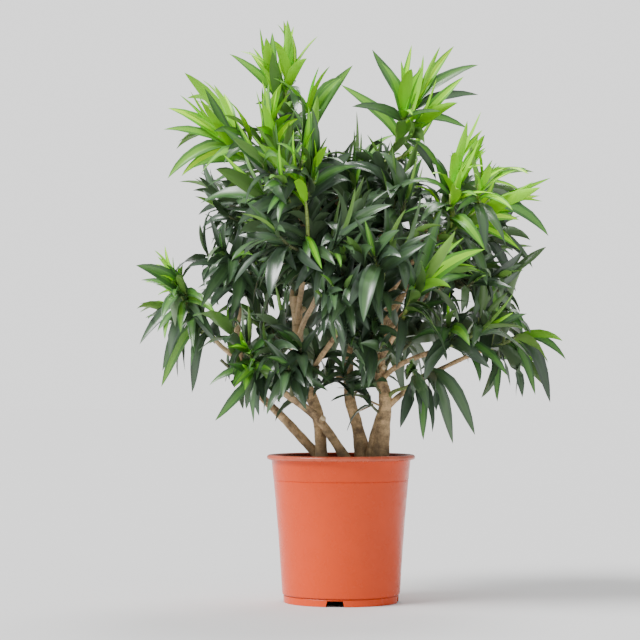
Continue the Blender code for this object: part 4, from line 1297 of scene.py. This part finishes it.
def pot_profile():
    """Height and radius from the pot's underside, up its outside, over the lip and down inside."""
    foot = [
        (0.0, FOOT_RADIUS - 0.0009), (0.0008, FOOT_RADIUS), (FOOT_HEIGHT - 0.0022, FOOT_RADIUS + 0.0004),
        (FOOT_HEIGHT - 0.0012, FOOT_RADIUS - 0.0002), (FOOT_HEIGHT - 0.0008, FOOT_RADIUS - 0.0014),
        (FOOT_HEIGHT + 0.0002, FOOT_RADIUS - 0.0014), (FOOT_HEIGHT + 0.0006, BODY_FOOT_RADIUS - 0.0012),
        (FOOT_HEIGHT + 0.0018, BODY_FOOT_RADIUS - 0.0001),
    ]
    under_lip = POT_HEIGHT - LIP_HEIGHT
    body = [(z, wall_radius(z)) for z in np.linspace(FOOT_HEIGHT + 0.006, LEDGE_HEIGHT - 0.0016, 14)]
    ledge = [
        (LEDGE_HEIGHT - 0.0006, wall_radius(LEDGE_HEIGHT)),
        (LEDGE_HEIGHT - 0.0001, wall_radius(LEDGE_HEIGHT) - LEDGE_DEPTH),
        (LEDGE_HEIGHT + 0.0008, wall_radius(LEDGE_HEIGHT) - LEDGE_DEPTH),
        (LEDGE_HEIGHT + 0.0014, wall_radius(LEDGE_HEIGHT) + LEDGE_DEPTH / 2),
    ]
    neck = [(z, wall_radius(z) + LEDGE_DEPTH / 2) for z in np.linspace(LEDGE_HEIGHT + 0.005, under_lip - 0.002, 4)]
    lip = [
        (under_lip, NECK_RADIUS + 0.0009), (under_lip + 0.0008, RIM_RADIUS - 0.0030),
        (under_lip + 0.0014, RIM_RADIUS - 0.0012), (under_lip + 0.0026, RIM_RADIUS - 0.0003),
        (under_lip + 0.0046, RIM_RADIUS), (POT_HEIGHT - 0.0030, RIM_RADIUS - 0.0004),
        (POT_HEIGHT - 0.0015, RIM_RADIUS - 0.0013), (POT_HEIGHT - 0.0004, RIM_RADIUS - 0.0027),
        (POT_HEIGHT, RIM_RADIUS - 0.0042), (POT_HEIGHT - 0.0004, NECK_RADIUS + 0.0018),
        (POT_HEIGHT - 0.0018, NECK_RADIUS + 0.0002), (POT_HEIGHT - 0.0045, NECK_RADIUS - WALL + 0.0006),
    ]
    inside = [(z, wall_radius(z) - WALL) for z in np.linspace(under_lip, FOOT_HEIGHT + 0.004, 6)]
    return foot + body + ledge + neck + lip + inside + [(FLOOR, FOOT_RADIUS - WALL)]


def select_faces(test):
    """In edit mode, selects just the faces whose middle passes the test."""
    bpy.ops.mesh.select_mode(type="FACE")
    bpy.ops.mesh.select_all(action="DESELECT")
    mesh = bmesh.from_edit_mesh(bpy.context.object.data)
    for face in mesh.faces:
        face.select_set(bool(test(face.calc_center_median())))
    bmesh.update_edit_mesh(bpy.context.object.data)


def select_where(test):
    """In edit mode, selects just the vertices that pass the test, with their edges and faces."""
    mesh = bmesh.from_edit_mesh(bpy.context.object.data)
    for part in (mesh.faces, mesh.edges, mesh.verts):
        for element in part:
            element.select = False
    for vertex in mesh.verts:
        vertex.select = bool(test(vertex.co))
    mesh.select_flush(True)
    bmesh.update_edit_mesh(bpy.context.object.data)


def raise_rings(profile):
    """Extrudes the selected ring up or down through the profile, one level at a time."""
    for (low, inner), (high, outer) in zip(profile, profile[1:]):
        bpy.ops.mesh.extrude_region_move(TRANSFORM_OT_translate={"value": (0.0, 0.0, high - low)})
        share = outer / inner
        bpy.ops.transform.resize(value=(share, share, 1.0), center_override=(0.0, 0.0, high))


def is_soil_stain_and_shade(place):
    """Whether a place on the pot takes the darkened plastic: inside the wall, where it is soil stain and painted
    shade, and in the recess under the floor, where it is painted shade.
    """
    out = math.hypot(place.x, place.y)
    if place.z > POT_HEIGHT - LIP_HEIGHT:
        return out < NECK_RADIUS - 0.0002 and place.z < POT_HEIGHT - 0.002
    skin = wall_radius(place.z) if place.z > FOOT_HEIGHT else FOOT_RADIUS
    return out < skin - 0.75 * WALL and place.z > 0.001


def is_rim(place):
    """Whether a place lies on the lip, but for the inner side of its wall."""
    out = math.hypot(place.x, place.y)
    return place.z > POT_HEIGHT - LIP_HEIGHT - 0.0002 and out > NECK_RADIUS - 0.0002


def cut_notches(pot):
    """Cuts the drain notches through the foot with a tapered block each."""
    blocks = []
    for i in range(NOTCH_COUNT):
        turn = NOTCH_TURN + i * 2 * math.pi / NOTCH_COUNT
        deselect_all()
        bpy.ops.mesh.primitive_cube_add(
            size=1.0, location=(FOOT_RADIUS * math.cos(turn), FOOT_RADIUS * math.sin(turn), 0.0),
            rotation=(0.0, 0.0, turn),
            scale=(2 * NOTCH_DEPTH, 2 * NOTCH_FOOT_WIDTH - NOTCH_TOP_WIDTH, 2 * NOTCH_HEIGHT),
        )
        bpy.ops.object.mode_set(mode="EDIT")
        select_where(lambda place: place.z > 0)
        narrow = NOTCH_TOP_WIDTH / (2 * NOTCH_FOOT_WIDTH - NOTCH_TOP_WIDTH)
        bpy.ops.transform.resize(value=(1.0, narrow, 1.0), orient_type="LOCAL")
        bpy.ops.object.mode_set(mode="OBJECT")
        apply_place()
        blocks.append(bpy.context.object)
    deselect_all()
    for block in blocks:
        block.select_set(True)
    bpy.context.view_layer.objects.active = blocks[0]
    bpy.ops.object.join()
    cutter = bpy.context.object
    deselect_all()
    pot.select_set(True)
    bpy.context.view_layer.objects.active = pot
    change = pot.modifiers.new("notches", "BOOLEAN")
    change.operation = "DIFFERENCE"
    change.solver = "EXACT"
    change.object = cutter
    bpy.ops.object.modifier_apply(modifier=change.name)
    bpy.data.objects.remove(cutter, do_unlink=True)


class PLANT_OT_pot(bpy.types.Operator):
    """Add the plastic pot, from its foot ring to its rolled lip"""

    bl_idname = "plant.pot"
    bl_label = "Pot"

    def execute(self, context):
        profile = pot_profile()
        deselect_all()
        bpy.ops.mesh.primitive_circle_add(
            vertices=POT_SIDES, radius=profile[0][1], fill_type="NOTHING", location=(0, 0, 0)
        )
        pot = context.object
        pot.name = "nursery_pot"
        bpy.ops.object.mode_set(mode="EDIT")
        bpy.ops.mesh.select_all(action="SELECT")
        raise_rings(profile)
        bpy.ops.mesh.edge_face_add()
        foot_radius = profile[0][1]
        select_where(lambda place: abs(place.z) < 1e-5 and math.hypot(place.x, place.y) > foot_radius - 1e-4)
        recess = [profile[0], (0.0, foot_radius - WALL + 0.0006), (UNDER_FLOOR, foot_radius - WALL)]
        raise_rings(recess)
        bpy.ops.mesh.edge_face_add()
        bpy.ops.mesh.select_all(action="SELECT")
        bpy.ops.mesh.normals_make_consistent(inside=False)
        bpy.ops.object.mode_set(mode="OBJECT")
        cut_notches(pot)
        pot.data.materials.append(pot_plastic(context.scene.plant_pot))
        # The darkened copy, at a fifth of the colour, is painted shade inside the wall and under the floor, with
        # some soil stain inside the wall
        pot.data.materials.append(pot_plastic(context.scene.plant_pot, "soiled_plastic", 0.20))
        pot.data.materials.append(rim_plastic(context.scene.plant_pot))
        bpy.ops.object.mode_set(mode="EDIT")
        for slot, test in ((1, is_soil_stain_and_shade), (2, is_rim)):
            select_faces(test)
            pot.active_material_index = slot
            bpy.ops.object.material_slot_assign()
        bpy.ops.object.mode_set(mode="OBJECT")
        bpy.ops.object.shade_smooth_by_angle(angle=math.radians(32.0))
        finish_piece(pot, ["pot"])
        return {"FINISHED"}


class PLANT_OT_soil(bpy.types.Operator):
    """Add the rough plug of soil and the loose crumbs on it"""

    bl_idname = "plant.soil"
    bl_label = "Soil"

    def execute(self, context):
        settings = context.scene.plant_pot
        low = FLOOR + 0.0006
        radius = wall_radius(SOIL_LEVEL) - WALL - 0.0004
        foot_radius = FOOT_RADIUS - WALL - 0.001
        deselect_all()
        bpy.ops.mesh.primitive_cone_add(
            vertices=96, radius1=foot_radius, radius2=radius, depth=SOIL_LEVEL - low,
            end_fill_type="NGON", location=(0.0, 0.0, (SOIL_LEVEL + low) / 2),
        )
        soil = context.object
        soil.name = "potting_soil"
        apply_place()
        bpy.ops.object.mode_set(mode="EDIT")
        select_where(lambda place: place.z > SOIL_LEVEL - 0.001)
        rings = 26
        for _ in range(rings):
            bpy.ops.mesh.inset(thickness=radius / (rings + 2))
        bpy.ops.object.mode_set(mode="OBJECT")
        top = soil.vertex_groups.new(name="top")
        inner = [v.index for v in soil.data.vertices
                 if v.co.z > SOIL_LEVEL - 0.001 and math.hypot(v.co.x, v.co.y) < radius - 0.003]
        top.add(inner, 1.0, "REPLACE")
        for size, height in ((0.030, 0.007), (0.006, 0.004)):
            texture = bpy.data.textures.new("soil_lumps", "CLOUDS")
            texture.noise_scale = size
            lumps = soil.modifiers.new("lumps", "DISPLACE")
            lumps.texture = texture
            lumps.texture_coords = "GLOBAL"
            lumps.direction = "Z"
            lumps.strength = height
            lumps.mid_level = 0.5
            lumps.vertex_group = "top"
            bpy.ops.object.modifier_apply(modifier=lumps.name)
        finish = potting_soil(settings)
        soil.data.materials.append(finish)
        soil.data.shade_smooth()
        finish_piece(soil, ["soil"])
        crumbs = self.crumbs(settings, radius, finish)
        finish_piece(crumbs, [])
        return {"FINISHED"}

    def crumbs(self, settings, radius, finish):
        """Small uneven lumps strewn over the soil, joined in one mesh."""
        rng = random.Random(11)
        base = bmesh.new()
        bmesh.ops.create_icosphere(base, subdivisions=1, radius=1.0)
        shape = np.array([v.co[:] for v in base.verts])
        faces = [tuple(v.index for v in f.verts) for f in base.faces]
        base.free()
        points, all_faces = [], []
        for number in range(settings.crumb_count):
            far = (radius - 0.004) * math.sqrt(rng.random())
            turn = rng.uniform(0, 2 * math.pi)
            size = rng.uniform(0.0008, 0.0030)
            lump = shape * np.array([[rng.uniform(0.6, 1.3) for _ in range(3)] for _ in shape])
            place = np.array((far * math.cos(turn), far * math.sin(turn), SOIL_LEVEL + rng.uniform(0.0, 0.002)))
            points.append(place + lump * size)
            all_faces += [tuple(i + number * len(shape) for i in f) for f in faces]
        return array_mesh("soil_crumbs", np.concatenate(points), all_faces, [0] * len(all_faces), [finish])


class PLANT_OT_limbs(bpy.types.Operator):
    """Add the bare stems, the boughs and the sawn-off shoots, with their bark"""

    bl_idname = "plant.limbs"
    bl_label = "Stems and boughs"

    def execute(self, context):
        limbs = all_limbs()
        materials = [bark_finish(context.scene.plant_plant), cut_wood(context.scene.plant_plant)]
        stems = [limbs[name] for name in STEMS] + [fork_flank(way) for way in FORK]
        stubs = [stub_line(limbs, row) for row in STUBS]
        boughs = []
        for name, (line, radii) in limbs.items():
            if name.startswith("bough_"):
                along = lengths_along(line)
                boughs.append((line, radii * (1.0 + 0.35 * np.exp(-along / 0.012))))
        piece = limb_piece("bare_stems", stems, 22, 0.0012, 0.0150, 21, materials)
        finish_piece(piece, list(STEMS))
        piece = limb_piece("sawn_stubs", stubs, 14, 0.0014, 0.0060, 22, materials)
        finish_piece(piece, [])
        piece = limb_piece("boughs", boughs, 12, 0.0018, 0.0100, 23, materials[:1])
        finish_piece(piece, ["bough_" + mass.name for mass in MASSES if mass.bough])
        return {"FINISHED"}


class PLANT_OT_foliage(bpy.types.Operator):
    """Add the leafy shoots and every kind of leaf"""

    bl_idname = "plant.foliage"
    bl_label = "Shoots and leaves"

    def execute(self, context):
        shoots, leaves = grow_plant(context.scene.plant_plant, context.scene.plant_studio)
        looks = {
            "young": ((0.42, 0.52, 0.13), (0.26, 0.38, 0.08)),
            "fresh": ((0.30, 0.38, 0.12), (0.16, 0.22, 0.07)),
            "deep": ((0.20, 0.22, 0.10), (0.10, 0.11, 0.05)),
        }
        for seed, (tint, (light, dark)) in enumerate(looks.items()):
            lines = [(line, radii) for line, radii, kind in shoots if kind == tint]
            made = shoot_finish(f"{tint}_shoot", light, dark)
            piece = limb_piece(f"{tint}_shoots", lines, 8, 0.0020, 0.0055, 31 + seed, [made])
            finish_piece(piece, [])
        for kind, found in leaves.items():
            piece = leaf_piece(kind, found)
            finish_piece(piece, [mass.name for mass in MASSES if mass.tint == kind])
            print(piece.name, len(found), "leaves", len(piece.data.polygons), "faces")
        return {"FINISHED"}


class PLANT_OT_stage(bpy.types.Operator):
    """Add the floor, the soft studio light and the camera"""

    bl_idname = "plant.stage"
    bl_label = "Stage"

    def execute(self, context):
        settings = context.scene.plant_studio
        deselect_all()
        bpy.ops.mesh.primitive_plane_add(size=60.0)
        floor = context.object
        floor.name = "studio_floor"
        finish, tree, shader = new_material("pale_floor")
        shader.inputs["Roughness"].default_value = 0.75
        tone = add_mottle(tree, (0.63, 0.63, 0.63), (0.61, 0.61, 0.61), 3.0, 1.0)
        tree.links.new(tone.outputs["Color"], shader.inputs["Base Color"])
        floor.data.materials.append(finish)
        floor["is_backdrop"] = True
        self.add_lamp("key_light", (-0.82, -0.46, 1.05), 30.0, 5.8)
        self.add_lamp("fill_light", (0.60, -1.00, 0.35), 40.0, 0.15)
        self.add_lamp("back_light", (0.20, 0.60, 1.00), 30.0, 2.1)
        self.add_surroundings(context.scene, settings)
        bpy.ops.object.camera_add(location=(0.0, -settings.distance, settings.eye_height))
        camera = context.object
        camera.name = "camera"
        camera.data.sensor_width = 36.0
        camera.data.lens = 36.0 * settings.distance / settings.picture_width
        way = Vector(settings.aim) - camera.location
        camera.rotation_euler = way.to_track_quat("-Z", "Y").to_euler()
        context.scene.camera = camera
        return {"FINISHED"}

    def add_lamp(self, name, source, width, power):
        """A broad, far light that shines from this side, this many degrees wide."""
        bpy.ops.object.light_add(type="SUN", location=source)
        lamp = bpy.context.object
        lamp.name = name
        lamp.data.angle = math.radians(width)
        lamp.data.energy = power
        lamp.rotation_euler = Vector(source).to_track_quat("Z", "Y").to_euler()

    def add_surroundings(self, scene, settings):
        """Even white daylight, which the camera sees as bright as the floor."""
        world = bpy.data.worlds.new("white_studio")
        scene.world = world
        world.use_nodes = True
        tree = world.node_tree
        background = tree.nodes["Background"]
        background.inputs["Color"].default_value = (1.0, 1.0, 1.0, 1.0)
        ray = tree.nodes.new("ShaderNodeLightPath")
        strength = tree.nodes.new("ShaderNodeMapRange")
        strength.inputs["To Min"].default_value = settings.daylight
        strength.inputs["To Max"].default_value = settings.backdrop
        tree.links.new(ray.outputs["Is Camera Ray"], strength.inputs["Value"])
        tree.links.new(strength.outputs["Result"], background.inputs["Strength"])


class PLANT_PT_panel(bpy.types.Panel):
    """Buttons for each part of the potted plant"""

    bl_idname = "PLANT_PT_panel"
    bl_label = "Potted dracaena"
    bl_space_type = "VIEW_3D"
    bl_region_type = "UI"
    bl_category = "Plant"

    def draw(self, context):
        for step in STEPS:
            self.layout.operator(step.bl_idname)


SETTINGS = {"plant_pot": PotSettings, "plant_plant": PlantSettings, "plant_studio": StudioSettings}
STEPS = (PLANT_OT_pot, PLANT_OT_soil, PLANT_OT_limbs, PLANT_OT_foliage, PLANT_OT_stage)


def register():
    for cls in (*SETTINGS.values(), *STEPS, PLANT_PT_panel):
        bpy.utils.register_class(cls)
    for name, cls in SETTINGS.items():
        setattr(bpy.types.Scene, name, bpy.props.PointerProperty(type=cls))


def unregister():
    for name in SETTINGS:
        delattr(bpy.types.Scene, name)
    for cls in (PLANT_PT_panel, *STEPS, *SETTINGS.values()):
        bpy.utils.unregister_class(cls)


def main():
    register()
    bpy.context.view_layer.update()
    bpy.ops.plant.pot()
    bpy.ops.plant.soil()
    bpy.ops.plant.limbs()
    bpy.ops.plant.foliage()
    bpy.ops.plant.stage()


if __name__ == "__main__":
    main()
